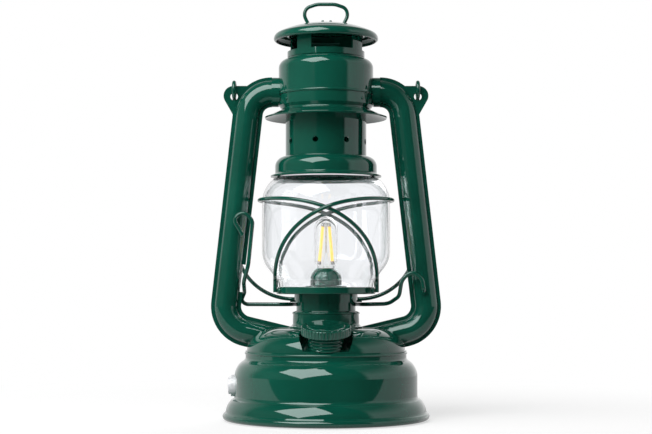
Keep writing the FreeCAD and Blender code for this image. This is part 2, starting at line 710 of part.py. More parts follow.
button_edge = 0.8
button_cap = turned("button_cap", [
    (0, sized(0)),
    (dim.button_radius, sized(0)),
    (dim.button_radius, dim.button_length - button_edge),
    (dim.button_radius - button_edge, dim.button_length, sized(button_edge)),
    (0, dim.button_length),
])
place(button_cap, button_face + dim.button_length, 0, dim.button_height, TO_MINUS_X)
switch_face = wall_face + dim.bezel_depth
switch_box = cylinder("switch_box", dim.bezel_barrel - 0.3, sized(6.0),
                      switch_face, z=dim.button_height, rotation=TO_X)
button_travel = 1.2
plunger_length = switch_face - (button_face + dim.button_length) - button_travel - 0.2
switch_plunger = cylinder("switch_plunger", sized(1.6), plunger_length + 0.5,
                          switch_face - plunger_length, z=dim.button_height, rotation=TO_X)
switch_module = fuse("switch_module", switch_box, switch_plunger)

# Burner neck: two drums with a bead between them, closed by a flat top with a hole
burner_neck = turned("burner_neck", shell([
    (dim.neck_flare_radius, dim.dome_flat + FIT_GAP),
    (dim.neck_flare_radius, dim.dome_flat + 1.0),
    (dim.neck_lower_radius, dim.dome_flat + 3.1, sized(-2.6)),
    (dim.neck_lower_radius, dim.neck_step),
    (dim.neck_lower_radius, dim.neck_step + 1.4, sized(0.8), "bead"),
    (dim.neck_radius, dim.neck_step + 2.2),
    (dim.neck_radius, dim.neck_top),
    (dim.bulb_cap_radius + 2.4, dim.neck_top),
], dim.sheet_wall))

# Lamp holder under the neck's top, the lead that feeds it, and the painted cone over it
holder_top = dim.neck_top - dim.sheet_wall - FIT_GAP
holder_bore = dim.bulb_cap_radius + 0.15
holder_floor = 75.0
holder_bottom = 64.0
lamp_holder = turned("lamp_holder", [
    (dim.lead_radius + 0.1, sized(holder_bottom)),
    (holder_bore + 2, sized(holder_bottom)),
    (holder_bore + 2, holder_top - 1.2),
    (dim.cone_flange_radius - 1.6, holder_top - 1.2),
    (dim.cone_flange_radius - 1.6, holder_top),
    (holder_bore, holder_top),
    (holder_bore, sized(holder_floor)),
    (dim.lead_radius + 0.1, sized(holder_floor)),
])
lamp_lead = cylinder("lamp_lead", dim.lead_radius, sized(holder_floor) - board_top, z=board_top)
cone_foot = dim.neck_top + FIT_GAP + dim.sheet_wall
cone_mouth = dim.bulb_neck + dim.sheet_wall + 0.15
cone_round = 8.0
burner_cone = turned("burner_cone", shell([
    (dim.cone_flange_radius, cone_foot),
    (dim.cone_radius + 1.0, cone_foot),
    (dim.cone_radius, cone_foot + 1.1, sized(-1.1)),
    (dim.cone_radius, dim.cone_top - cone_round),
    (cone_mouth, dim.cone_top, tangent_bend(dim.cone_radius - cone_mouth, sized(cone_round))),
], dim.sheet_wall))

# Filament bulb: screw cap, glass, stem, support wires and four splayed filaments
bulb_cap_bottom = holder_floor + 0.2
bulb_foot = dim.cone_top - 5.3
bulb_cap = turned("bulb_cap", [
    (0, sized(bulb_cap_bottom)),
    (sized(3.0), sized(bulb_cap_bottom)),
    (sized(3.6), sized(bulb_cap_bottom + 1.0)),
    (dim.bulb_cap_radius, sized(bulb_cap_bottom + 2.6)),
    (dim.bulb_cap_radius, bulb_foot),
    (0, bulb_foot),
])
bulb_glass = turned("bulb_glass", drop_axis(shell([
    (dim.bulb_neck, bulb_foot + FIT_GAP),
    (dim.bulb_neck, dim.cone_top - 1.0),
    (dim.bulb_radius, dim.cone_top + 3.6),
    (dim.bulb_radius, dim.bulb_top - dim.bulb_radius),
    (0, dim.bulb_top, dim.bulb_radius),
], dim.bulb_wall)))
stem_height = 15.0
bulb_stem = turned("bulb_stem", [
    (0, bulb_foot + FIT_GAP),
    (dim.bulb_neck - dim.bulb_wall - 0.6, bulb_foot + FIT_GAP),
    (sized(2.1), bulb_foot + 3.0, sized(-4.0)),
    (sized(1.5), bulb_foot + stem_height - 1.0),
    (sized(0.5), bulb_foot + stem_height, sized(1.0)),
    (0, bulb_foot + stem_height),
])
filaments = []
supports = [cylinder("support_rod", sized(0.35), dim.filament_high + 1.6 - bulb_foot - stem_height,
                     z=bulb_foot + stem_height + FIT_GAP)]
filament_rise = dim.filament_high - dim.filament_low
filament_lean = math.degrees(math.atan2(dim.filament_spread.value - dim.filament_close.value,
                                        filament_rise.value))
filament_length = filament_rise / math.cos(math.radians(filament_lean))
filament_angles = (30, 150, 210, 330)
for index, angle in enumerate(filament_angles):
    x, y = polar(dim.filament_spread, angle)
    lean = Rotation(Z_AXIS, angle) * Rotation(Y_AXIS, -filament_lean)
    filaments.append(cylinder(f"filament_{index}", dim.filament_radius, filament_length,
                              x, y, dim.filament_low, lean))
    supports.append(cylinder(f"support_arm_{index}", sized(0.3), dim.filament_close + 0.6,
                             z=dim.filament_high + 1.25, rotation=Rotation(Z_AXIS, angle) * TO_X))
led_filaments = group("led_filaments", filaments)
filament_supports = fuse("filament_supports", *supports)

# Air chamber under the hood: a lower half with a flared skirt and an upper half with a bead
lower_radius = dim.chamber_radius - 0.2
chamber_lower = turned("chamber_lower", shell([
    (dim.skirt_radius, dim.skirt_height),
    (dim.waist_radius + 1.0, dim.waist_height - 0.6),
    (dim.waist_radius + 0.9, dim.waist_height + 0.8, sized(-0.9)),
    (lower_radius, dim.waist_height + 2.4),
    (lower_radius, dim.chamber_seam),
], dim.sheet_wall))
mouth_in = dim.chamber_radius - dim.chamber_mouth - 0.3
mouth_up = dim.chamber_top - 0.6 - dim.chamber_shoulder
chamber_upper = turned("chamber_upper", shell([
    (dim.chamber_radius, dim.chamber_seam + FIT_GAP),
    (dim.chamber_radius, dim.chamber_seam + 1.8, sized(1.0), "bead"),
    (dim.chamber_radius, dim.chamber_shoulder),
    (dim.chamber_mouth + 0.3, dim.chamber_top - 0.6, tangent_bend(mouth_in, mouth_up)),
    (dim.chamber_mouth, dim.chamber_top),
], dim.sheet_wall))

# Sockets between the chamber and the side tubes
tube_bore = dim.tube_radius - dim.tube_wall
chamber_outside = cylinder("chamber_outside", dim.chamber_radius + FIT_GAP, dim.socket_radius * 4,
                           z=dim.tube_top - dim.socket_radius * 2)
seam_outside = cylinder("seam_outside", dim.chamber_radius + 0.7, sized(2.4), z=dim.chamber_seam - 0.3)
sockets = []
for index, rotation in enumerate((TO_X, TO_MINUS_X)):
    sleeve = cylinder(f"socket_sleeve_{index}", dim.socket_radius, dim.tube_start - FIT_GAP,
                      z=dim.tube_top, rotation=rotation)
    bore = cylinder(f"socket_bore_{index}", tube_bore, dim.tube_start * 2, z=dim.tube_top, rotation=rotation)
    sockets.append(cut(f"socket_{index}", sleeve, chamber_outside, seam_outside, bore))
tube_sockets = group("tube_sockets", sockets)


def plain_sketch(name, rotation):
    sketch = doc.addObject("Sketcher::SketchObject", name)
    sketch.Placement = Placement(Vector(), rotation)
    return sketch


def rounded(corners):
    """Open path whose inner corners (across, up, bend) become tangent arcs."""
    path = [corners[0]]
    for index in range(1, len(corners) - 1):
        across, up, bend = corners[index]
        here = values(corners[index])
        before = values(corners[index - 1])
        after = values(corners[index + 1])
        back = unit((before[0] - here[0], before[1] - here[1]))
        ahead = unit((after[0] - here[0], after[1] - here[1]))
        half = math.acos(back[0] * ahead[0] + back[1] * ahead[1]) / 2
        reach = bend / math.tan(half)
        turn = ahead[0] * back[1] - ahead[1] * back[0]
        path.append((across + reach * back[0], up + reach * back[1]))
        path.append((across + reach * ahead[0], up + reach * ahead[1], bend if turn > 0 else -bend))
    path.append(corners[-1])
    return path


SIDE_ON = Rotation(Vector(1, 1, 1), 120)
FRONT_ON = Rotation(X_AXIS, 90)

# Side tubes: each one two pressed halves that meet flange to flange, with an ear for the bail
flange_chord = (dim.tube_radius * dim.tube_radius - dim.tube_wall * dim.tube_wall).root()
tube_section = plain_sketch("tube_section", SIDE_ON)
bind(tube_section, Placement__Base__x=dim.tube_start)
draw(tube_section, [
    (0, dim.tube_top + dim.tube_flange),
    (-dim.tube_wall, dim.tube_top + dim.tube_flange),
    (-dim.tube_wall, dim.tube_top + flange_chord),
    (-dim.tube_radius, dim.tube_top, dim.tube_radius),
    (-dim.tube_wall, dim.tube_top - flange_chord, dim.tube_radius),
    (-dim.tube_wall, dim.tube_top - dim.tube_flange),
    (0, dim.tube_top - dim.tube_flange),
    (0, dim.tube_top - tube_bore),
    (-tube_bore, dim.tube_top, -tube_bore),
    (0, dim.tube_top + tube_bore, -tube_bore),
])
tube_line = plain_sketch("tube_line", FRONT_ON)
tube_path = rounded([
    (dim.tube_start, dim.tube_top),
    (dim.tube_shoulder, dim.tube_top, dim.shoulder_bend),
    (dim.tube_elbow, dim.tube_elbow_height, dim.elbow_bend),
    (dim.tube_end, dim.tube_end_height),
])
draw(tube_line, tube_path, closed=False)
doc.recompute()
tube_half = doc.addObject("Part::Sweep", "tube_half")
tube_half.Sections = [tube_section]
tube_half.Spine = (tube_line, [f"Edge{number + 1}" for number in range(len(tube_path) - 1)])
tube_half.Solid = True
tube_half.Frenet = False

ear_sketch = plain_sketch("ear_outline", FRONT_ON)
flange_bend = dim.shoulder_bend + dim.tube_flange
ear_foot = tube_path[1][0] + flange_bend
ear_cos = 0.891
ear_sin = 0.454
draw(ear_sketch, [
    (dim.tube_shoulder + 0.3, dim.ear_height + dim.ear_radius),
    (dim.tube_shoulder, dim.ear_height),
    (ear_foot - dim.tube_flange * 0.25, dim.ear_height - dim.ear_radius * 1.95),
    (ear_foot - 0.1, dim.ear_height - dim.ear_radius * 1.95),
    (dim.ear_centre + dim.ear_radius * ear_cos, dim.ear_height - dim.ear_radius * ear_sin),
    (dim.ear_centre, dim.ear_height + dim.ear_radius, dim.ear_radius),
])
ear_plate = doc.addObject("Part::Extrusion", "ear_plate")
ear_plate.Base = ear_sketch
ear_plate.DirMode = "Normal"
ear_plate.Solid = True
bind(ear_plate, LengthFwd=dim.tube_wall)
ear_hole = cylinder("ear_hole", dim.ear_hole_radius, dim.tube_wall * 4, dim.eye_centre,
                    -dim.tube_wall * 2, dim.eye_height - dim.eye_ring + 0.25, TO_PLUS_Y)
tube_front = cut("tube_front", fuse("tube_with_ear", tube_half, ear_plate), ear_hole, dome_outside)

tube_slant = (dim.tube_elbow - dim.tube_shoulder) / (dim.tube_top - dim.tube_elbow_height)
tube_lean = math.degrees(math.atan(tube_slant.value))


def tube_at(height):
    """Distance of a side tube's centre line from the axis at a height."""
    return dim.tube_shoulder + tube_slant * (dim.tube_top - height)


# The right tube carries the lift lever's bush; the left tube's inner flange has a slot for the lever
lever_pivot = tube_at(dim.lever_pivot_height) - dim.pivot_inset
bush_back = dim.tube_radius - 2.3
bush_hole = cylinder("bush_hole", dim.bush_radius + FIT_GAP, dim.lever_front - bush_back,
                     lever_pivot, -dim.lever_front, dim.lever_pivot_height, TO_PLUS_Y)
tube_right_front = cut("tube_right_front", tube_front, bush_hole)
tube_right_rear = mirrored("tube_right_rear", tube_front, Y_AXIS)
tube_left_blank = mirrored("tube_left_blank", tube_front, X_AXIS)
slot_bottom = dim.lever_pivot_height - 0.5
slot_height = 18.0
slot_depth = dim.tube_flange - dim.tube_radius - 0.15
slot_width = 5.0
lever_slot = box("lever_slot", sized(slot_width), sized(slot_width), sized(slot_height),
                 -tube_at(slot_bottom) + (dim.tube_flange - slot_depth) / math.cos(math.radians(tube_lean)),
                 sized(-slot_width / 2), slot_bottom, Rotation(Y_AXIS, tube_lean))
tube_left_front = cut("tube_left_front", tube_left_blank, lever_slot)
tube_left_rear = mirrored("tube_left_rear", tube_left_front, Y_AXIS)
bush_blank = cylinder("bush_blank", dim.bush_radius, dim.lever_front - 3 - bush_back,
                      lever_pivot, -dim.lever_front + 3, dim.lever_pivot_height, TO_PLUS_Y)
bush_bore = cylinder("bush_bore", wire_radius + dim.bush_gap, dim.lever_front * 2,
                     lever_pivot, -dim.lever_front * 1.5, dim.lever_pivot_height, TO_PLUS_Y)
lever_bush = cut("lever_bush", bush_blank, bush_bore)

# Chimney tube with a step that the spring sits on, and a ring of vent holes
chimney_blank = turned("chimney_blank", shell([
    (dim.chimney_radius, dim.chimney_foot),
    (dim.chimney_radius, dim.chimney_step),
    (dim.stem_radius, dim.chimney_step),
    (dim.stem_radius, dim.stem_top),
], dim.sheet_wall))
vent_count = 8
vents = []
for index in range(vent_count):
    vent = cylinder(f"vent_{index}", dim.vent_radius, dim.chimney_radius * 1.2, z=dim.vent_height,
                    rotation=Rotation(Z_AXIS, dim.vent_start.value + 360 * index / vent_count) * TO_X)
    vents.append(vent)
chimney_tube = cut("chimney_tube", chimney_blank, *vents)
spring_top = dim.chamber_top - 2.3
crown_spring = turned("crown_spring", [
    (dim.stem_radius + 0.5, dim.chimney_step + FIT_GAP),
    (dim.stem_radius + 1.8, dim.chimney_step + FIT_GAP),
    (dim.stem_radius + 1.8, spring_top),
    (dim.stem_radius + 0.5, spring_top),
])

# Globe cap under the chimney tube
bell_in = dim.bell_radius - dim.chimney_radius - 1.0
bell_up = dim.chimney_foot - 0.1 - dim.bell_shoulder
bell_bend = tangent_bend(bell_in, bell_up)
globe_bell = turned("globe_bell", shell([
    (dim.bell_flange, dim.bell_bottom),
    (dim.bell_flange, dim.bell_bottom + 0.8),
    (dim.bell_radius, dim.bell_bottom + 2.4, sized(-2.6)),
    (dim.bell_radius, dim.bell_shoulder),
    (dim.bell_radius - bell_in, dim.chimney_foot - 0.1, bell_bend),
    (dim.stem_radius, dim.chimney_foot - 0.1),
], dim.sheet_wall))

# Hood, the crenellated ring that carries it, and the wire ring on top
hood_roll = 1.6
hood_edge_in = 2.5
hood_edge_up = 3.8
hood_flat = 5.0
crown_rise = dim.hood_top - dim.hood_edge - hood_roll - hood_edge_up
crown_bend = tangent_bend(crown_rise, dim.hood_radius - hood_edge_in - hood_flat)
hood = turned("hood", drop_axis(shell([
    (dim.hood_radius - hood_roll, dim.hood_edge),
    (dim.hood_radius, dim.hood_edge + hood_roll, sized(hood_roll)),
    (dim.hood_radius - hood_edge_in, dim.hood_edge + hood_roll + hood_edge_up,
     tangent_bend(sized(hood_edge_in), sized(hood_edge_up))),
    (sized(hood_flat), dim.hood_top, crown_bend),
    (0, dim.hood_top),
], dim.sheet_wall)))


def hood_height(radius):
    """Height of the hood's outer face at a distance from the axis."""
    out = radius - hood_flat
    return dim.hood_top - crown_bend + (crown_bend * crown_bend - out * out).root()


ring_inside = dim.stem_radius + FIT_GAP
post_ring_top = hood_height(dim.post_ring_radius) - dim.sheet_wall * 1.1 - FIT_GAP
post_ring_blank = turned("post_ring_blank", [
    (ring_inside, dim.post_ring_bottom),
    (dim.post_ring_radius, dim.post_ring_bottom),
    (dim.post_ring_radius, post_ring_top),
    (ring_inside, post_ring_top),
])
windows = []
for index in range(4):
    window = cylinder(f"window_{index}", dim.post_ring_radius * 1.3, dim.window_top - dim.window_bottom,
                      z=dim.window_bottom,
                      rotation=Rotation(Z_AXIS, dim.window_start.value + 90 * index))
    bind(window, Angle=dim.window_angle)
    windows.append(window)
hood_posts = cut("hood_posts", post_ring_blank, group("windows", windows))
ring_foot_height = hood_height(dim.ring_foot) + 0.3
ring_middle = (dim.ring_top + ring_foot_height) / 2
ring_side = (ring_middle - ring_foot_height) * 0.9
hood_ring = bent_wire("hood_ring", [
    ((-dim.ring_foot, 0, ring_foot_height), None),
    ((-dim.ring_width, 0, ring_middle - 1.0), ring_side),
    ((-dim.ring_width * 0.93, 0, dim.ring_top - 2.6), 5.0),
    ((-dim.ring_width * 0.42, 0, dim.ring_top), 13.0),
    ((dim.ring_width * 0.42, 0, dim.ring_top), 13.0),
    ((dim.ring_width * 0.93, 0, dim.ring_top - 2.6), 5.0),
    ((dim.ring_width, 0, ring_middle - 1.0), ring_side),
    ((dim.ring_foot, 0, ring_foot_height), None),
], dim.ring_wire / 2)

# Glass globe between the globe plate and the globe cap
plate_face = dim.plate_floor + dim.sheet_wall
bell_inner_bend = bell_bend - dim.sheet_wall
mouth_offset = dim.globe_mouth - dim.bell_radius + bell_bend
globe_top = (dim.bell_shoulder + (bell_inner_bend * bell_inner_bend - mouth_offset * mouth_offset).root()
             - dim.seat_gap)
foot_flare = 1.2
foot_flare_rise = 4.2
knee_in = sized(4.4)
knee_up = sized(12.0)
throat_in = 1.53
throat_up = 2.76
shoulder_rise = sized(16.5)
shoulder_run = dim.globe_radius - dim.globe_mouth - throat_in
globe = turned("globe", shell([
    (dim.globe_foot, plate_face + dim.seat_gap),
    (dim.globe_foot, dim.plate_rim + 0.3),
    (dim.globe_foot + foot_flare, dim.plate_rim + 0.3 + foot_flare_rise,
     -tangent_bend(sized(foot_flare), sized(foot_flare_rise))),
    (dim.globe_radius - knee_in, dim.globe_low - knee_up),
    (dim.globe_radius, dim.globe_low, tangent_bend(knee_in, knee_up)),
    (dim.globe_radius, dim.globe_high),
    (dim.globe_mouth + throat_in, dim.globe_high + shoulder_rise, tangent_bend(shoulder_run, shoulder_rise)),
    (dim.globe_mouth, dim.globe_high + shoulder_rise + throat_up,
     -tangent_bend(sized(throat_in), sized(throat_up))),
    (dim.globe_mouth, globe_top),
], dim.globe_wall))

# Globe plate: a perforated dish on a sleeve that slides on the burner neck; the lever lifts its rear flange
sleeve_bore = dim.neck_radius + dim.slide_gap
sleeve_outside = sleeve_bore + dim.sheet_wall
plate_edge = 1.0
rim_edge = 0.4
globe_plate_blank = turned("globe_plate_blank", [
    (sleeve_bore, dim.sleeve_bottom),
    (dim.sleeve_foot, dim.sleeve_bottom),
    (dim.sleeve_foot, dim.sleeve_bottom + dim.sheet_wall),
    (sleeve_outside, dim.sleeve_bottom + dim.sheet_wall * 2),
    (sleeve_outside, dim.plate_floor),
    (dim.plate_radius - plate_edge, dim.plate_floor),
    (dim.plate_radius, dim.plate_floor + plate_edge, sized(plate_edge)),
    (dim.plate_radius, dim.plate_rim - rim_edge),
    (dim.plate_radius - rim_edge, dim.plate_rim, sized(rim_edge)),
    (dim.plate_radius - dim.sheet_wall, dim.plate_rim),
    (dim.plate_radius - dim.sheet_wall, plate_face),
    (sleeve_bore, plate_face),
])
slot_count = 16
draught_radius = 1.8
draughts = []
for index in range(slot_count):
    x, y = polar((sleeve_outside + dim.plate_radius) / 2 - 1, 360 * index / slot_count)
    draughts.append(cylinder(f"draught_{index}", sized(draught_radius), dim.sheet_wall * 3,
                             x, y, dim.plate_floor - dim.sheet_wall))
flange_block = box("flange_block", dim.sleeve_foot * 2, dim.sleeve_foot, dim.sheet_wall * 3,
                   -dim.sleeve_foot, -dim.sleeve_foot, dim.sleeve_bottom - dim.sheet_wall)
flange_front = cut("flange_front", flange_block, cylinder("flange_keep", sleeve_outside, dim.neck_top * 2))
globe_plate = cut("globe_plate", globe_plate_blank, group("draughts", draughts), flange_front)


def biarc(start, leave, end, arrive):
    """Two tangent arcs from start to end with the given directions of travel."""
    span = end - start
    both = leave + arrive
    across = 2 * (1 - leave.dot(arrive))
    along = span.dot(both)
    if across < 1e-9:
        reach = span.dot(span) / (2 * along)
    else:
        reach = (math.sqrt(along * along + across * span.dot(span)) - along) / across
    first = start + leave * reach
    last = end - arrive * reach
    middle = (first + last) / 2
    edges = []
    for near, corner, far in ((start, first, middle), (middle, last, end)):
        foot = (near + far) / 2
        rise = corner - foot
        half = (far - near).Length / 2
        if rise.Length < 1e-5 * half:
            edges.append(Part.LineSegment(near, far).toShape())
            continue
        bend = math.atan2(rise.Length, half)
        edges.append(Part.Arc(near, foot + rise * (math.tan(bend / 2) / math.tan(bend)), far).toShape())
    return edges


# Guard wires: two hoops, high on one side and footed on the other, that cross in front and behind
guard_radius = dim.guard_wire / 2
guard_foot_height = dim.plate_rim + 0.3
guard_foot_reach = dim.plate_radius + guard_radius + 0.1
guard_full_reach_height = dim.globe_low - 1.0
crossing_width = 13.0
crossing_gap = 0.2
guard_steps = 18


def guard_point(side, outer, turn):
    """Point of a guard wire; turn runs from -1 at the rear foot over 0 at the top to 1 in front."""
    sweep = math.sin(abs(turn) * math.pi / 2) ** 2
    fullness = dim.guard_fullness.value
    lift = (1 - sweep ** fullness) ** (1 / fullness)
    across = side * ((dim.guard_reach.value + dim.guard_foot.value) * sweep - dim.guard_reach.value)
    foot = guard_foot_height.value
    height = foot + (dim.guard_top.value - foot) * lift
    share = (height - dim.plate_floor.value) / (guard_full_reach_height.value - dim.plate_floor.value)
    share = min(max(share, 0), 1)
    ease = share * share * (3 - 2 * share)
    reach = guard_foot_reach.value + (dim.guard_reach.value - guard_foot_reach.value) * ease
    if outer:
        bow = dim.guard_wire.value + crossing_gap
        reach += bow * math.exp(-(across / crossing_width) ** 2) * ease
    depth = math.sqrt(max(reach * reach - across * across, 0))
    return Vector(across, -math.copysign(depth, turn), height)


def guard_wire(name, side, outer):
    turns = [step / guard_steps for step in range(-guard_steps, guard_steps + 1)]
    places = [guard_point(side, outer, turn) for turn in turns]
    nudge = 1e-4
    headings = []
    for turn in turns:
        low = guard_point(side, outer, max(turn - nudge, -1))
        high = guard_point(side, outer, min(turn + nudge, 1))
        headings.append((high - low).normalize())
    headings[0] = Vector(0, 0, 1)
    headings[-1] = Vector(0, 0, -1)
    down = Vector(0, 0, guard_foot_height.value - dim.plate_floor.value - 1.2)
    edges = [Part.LineSegment(places[0] - down, places[0]).toShape()]
    for index in range(len(places) - 1):
        edges.extend(biarc(places[index], headings[index], places[index + 1], headings[index + 1]))
    edges.append(Part.LineSegment(places[-1], places[-1] - down).toShape())
    return wire_along(name, edges, guard_radius)


guard_wire_left = guard_wire("guard_wire_left", 1, False)
guard_wire_right = guard_wire("guard_wire_right", -1, True)

# Round rivet heads on the plate's rim beside the feet of the guard wires
rivet_radius = 1.9
rivet_angles = (22, 158, 202, 338)
rivet_proud = 1.5
rivets = []
for index, angle in enumerate(rivet_angles):
    rivet = turned(f"rivet_{index}", [
        (0, sized(0)),
        (sized(rivet_radius), sized(0)),
        (sized(rivet_radius), sized(rivet_proud * 0.3)),
        (sized(rivet_radius * 0.3), sized(rivet_proud), sized(rivet_radius)),
        (0, sized(rivet_proud)),
    ])
    x, y = polar(dim.plate_radius + FIT_GAP, angle)
    rivets.append(place(rivet, x, y, (dim.plate_floor + dim.plate_rim) / 2, Rotation(Z_AXIS, angle) * TO_X))
guard_rivets = group("guard_rivets", rivets)

# Lift lever: one wire from the hand crook through the slot, round the neck and into the bush
crook = -dim.crook_front
rod = dim.lever_rod_height
hand = dim.lever_front * -1
pivot_height = dim.lever_pivot_height


def left_of_globe(height, inside):
    """X of a point that lies inside the left tube's centre line by a distance."""
    return sized(inside) - tube_at(height)


globe_lever = bent_wire("globe_lever", [
    ((left_of_globe(120.1, 6.5), crook, 120.1), None),
    ((left_of_globe(130.6, -0.9), crook, 130.6), 4.2),
    ((left_of_globe(136.2, 5.0), crook, 136.2), 4.6),
    ((left_of_globe(129.5, 11.8), crook, 129.5), 5.0),
    ((left_of_globe(101.0, 12.2), crook, 101.0), 14.0),
    ((left_of_globe(90.0, 10.2), -6.5, 90.0), 8.0),
    ((left_of_globe(83.0, 11.0), 3.5, 83.0), 6.0),
    ((left_of_globe(rod, 8.2), 10.0, rod), 4.0),
    ((-24.5, 7.5, rod), 8.0),
    ((-18.5, dim.lever_bow, rod), 11.0),
    ((18.5, dim.lever_bow, rod), 11.0),
    ((24.5, 7.5, rod), 8.0),
    ((41.0, 3.0, rod + 0.4), 10.0),
    ((47.6, -6.0, rod + 5.3), 8.0),
    ((lever_pivot - 14.5, hand, pivot_height + 7), 7.0),
    ((lever_pivot - 8, hand, pivot_height + 13.5), 5.0),
    ((lever_pivot - 1.2, hand, pivot_height + 7.5), 6.0),
    ((lever_pivot, hand, pivot_height), 2.8),
    ((lever_pivot, -bush_back, pivot_height), None),
], wire_radius)

# Carrying bail: a wire bow with an eye at each end, hanging behind the side tubes
bail_sine = math.sin(math.radians(dim.bail_rest.value))
bail_cosine = math.cos(math.radians(dim.bail_rest.value))
eye_wire = wire_radius + FIT_GAP
leg_start = dim.eye_ring + 0.3


def bail_point(side, drop):
    return (dim.eye_centre * side, drop * bail_sine, dim.eye_height - drop * bail_cosine)


bail_bow = bent_wire("bail_bow", [
    (bail_point(-1, leg_start), None),
    (bail_point(-1, dim.bail_length), dim.bail_corner),
    (bail_point(1, dim.bail_length), dim.bail_corner),
    (bail_point(1, leg_start), None),
], wire_radius)
eyes = []
for side in (-1, 1):
    eye = doc.addObject("Part::Torus", f"bail_eye_{len(eyes)}")
    bind(eye, Radius1=dim.eye_ring, Radius2=eye_wire)
    eyes.append(place(eye, dim.eye_centre * side, 0, dim.eye_height, TO_X))
bail = fuse("bail", bail_bow, *eyes)

# Sub-parts by the name of their file
SUB_PARTS = (
    base_shell, base_plate, base_plate_screws, screw_bosses, rubber_feet, battery_cells, battery_tray,
    circuit_board, board_posts, tank_dome, filler_neck, charge_socket, charge_lead, filler_cap,
    filler_gasket, button_bezel, button_nut, button_cap, switch_module, burner_neck, lamp_holder,
    lamp_lead, burner_cone, bulb_cap, bulb_glass, bulb_stem, led_filaments, filament_supports,
    chamber_lower, chamber_upper, tube_sockets, tube_right_front, tube_right_rear, tube_left_front,
    tube_left_rear, lever_bush, chimney_tube, crown_spring, globe_bell, hood, hood_posts, hood_ring,
    globe, globe_plate, guard_wire_left, guard_wire_right, guard_rivets, globe_lever, bail,
)
doc.recompute()
for thing in doc.Objects:
    if "Invalid" in thing.State or "Error" in thing.State:
        raise RuntimeError(f"{thing.Name} failed: {thing.State}")
os.makedirs("parts", exist_ok=True)
for sub_part in SUB_PARTS:
    sub_part.Label = sub_part.Name
    shape = sub_part.Shape
    if shape.isNull() or not shape.isValid():
        raise RuntimeError(f"{sub_part.Name} has no valid shape")
    shape.exportStep(f"parts/{sub_part.Label}.step")
    print(f"{sub_part.Label}: {len(shape.Solids)} solids, {shape.Volume:.1f} mm3")
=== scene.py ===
import math

import bpy
from mathutils import Matrix, Vector


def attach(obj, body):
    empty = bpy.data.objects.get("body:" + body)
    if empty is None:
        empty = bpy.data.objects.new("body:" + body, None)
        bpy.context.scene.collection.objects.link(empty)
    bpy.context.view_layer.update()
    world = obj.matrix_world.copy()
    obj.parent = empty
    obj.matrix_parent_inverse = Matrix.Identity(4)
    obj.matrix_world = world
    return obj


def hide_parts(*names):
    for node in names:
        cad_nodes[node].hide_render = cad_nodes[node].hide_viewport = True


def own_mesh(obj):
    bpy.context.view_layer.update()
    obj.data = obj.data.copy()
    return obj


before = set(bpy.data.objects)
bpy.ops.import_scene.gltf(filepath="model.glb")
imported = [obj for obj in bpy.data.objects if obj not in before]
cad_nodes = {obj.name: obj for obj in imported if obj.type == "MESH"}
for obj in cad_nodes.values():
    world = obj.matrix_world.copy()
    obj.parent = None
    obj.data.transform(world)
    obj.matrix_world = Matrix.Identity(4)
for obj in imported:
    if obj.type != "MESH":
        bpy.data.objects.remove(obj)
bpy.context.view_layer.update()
scene = bpy.context.scene
scene.view_settings.view_transform = "Standard"

# Base: deep-drawn steel shell with spot-welded screw bosses, closed by a bottom plate, all in gloss green.
# The enamel flows out almost flat, with a faint orange peel and a little drift in its depth.
NOISE_LOW = 0.3
NOISE_HIGH = 0.7
ENAMEL_DEEP = (0.0028, 0.070, 0.045, 1.0)
ENAMEL_LIGHT = (0.0042, 0.098, 0.063, 1.0)
ENAMEL_SHEEN = (0.70, 1.0, 0.94, 1.0)
ENAMEL_ROUGHNESS = (0.05, 0.09)
ENAMEL_IOR = 1.5
GLOSS_FINENESS = 6
PEEL_STRENGTH = 0.2
PEEL_DEPTH = 0.00002
COAT_ROUGHNESS = 0.02


def add_node(tree, kind, settings=(), inputs=()):
    """Shader node with its settings and the values of its unlinked sockets."""
    node = tree.nodes.new(kind)
    for setting, value in settings:
        setattr(node, setting, value)
    for socket, value in inputs:
        node.inputs[socket].default_value = value
    return node


def start_material(name):
    """Empty principled material with its tree, shader and object coordinates."""
    material = bpy.data.materials.new(name)
    material.use_nodes = True
    tree = material.node_tree
    shader = tree.nodes["Principled BSDF"]
    place = add_node(tree, "ShaderNodeTexCoord")
    return material, tree, shader, place.outputs["Object"]


def grain(tree, place, scale, detail=2.0):
    """Noise of a given scale on the piece, from 0 to 1."""
    noise = add_node(tree, "ShaderNodeTexNoise", inputs=(("Scale", scale), ("Detail", detail)))
    tree.links.new(place, noise.inputs["Vector"])
    return noise.outputs["Fac"]


def spread(tree, source, low, high):
    """Noise stretched to a range of values."""
    stretch = add_node(tree, "ShaderNodeMapRange", inputs=(
        ("From Min", NOISE_LOW), ("From Max", NOISE_HIGH), ("To Min", low), ("To Max", high)))
    tree.links.new(source, stretch.inputs["Value"])
    return stretch.outputs["Result"]


def blend_colours(tree, source, first, second):
    """Colour between two, driven by a pattern."""
    ramp = add_node(tree, "ShaderNodeValToRGB")
    ramp.color_ramp.elements[0].position = NOISE_LOW
    ramp.color_ramp.elements[0].color = first
    ramp.color_ramp.elements[1].position = NOISE_HIGH
    ramp.color_ramp.elements[1].color = second
    tree.links.new(source, ramp.inputs["Fac"])
    return ramp.outputs["Color"]


def raise_relief(tree, shader, source, strength, depth):
    """Bump from a pattern, with its depth in metres."""
    bump = add_node(tree, "ShaderNodeBump", inputs=(("Strength", strength), ("Distance", depth)))
    tree.links.new(source, bump.inputs["Height"])
    tree.links.new(bump.outputs["Normal"], shader.inputs["Normal"])


def finish_nodes(material, *names):
    """Give CAD nodes their finish."""
    for name in names:
        piece = cad_nodes[name]
        if not piece.material_slots:
            piece.data.materials.append(material)
        for slot in piece.material_slots:
            slot.material = material


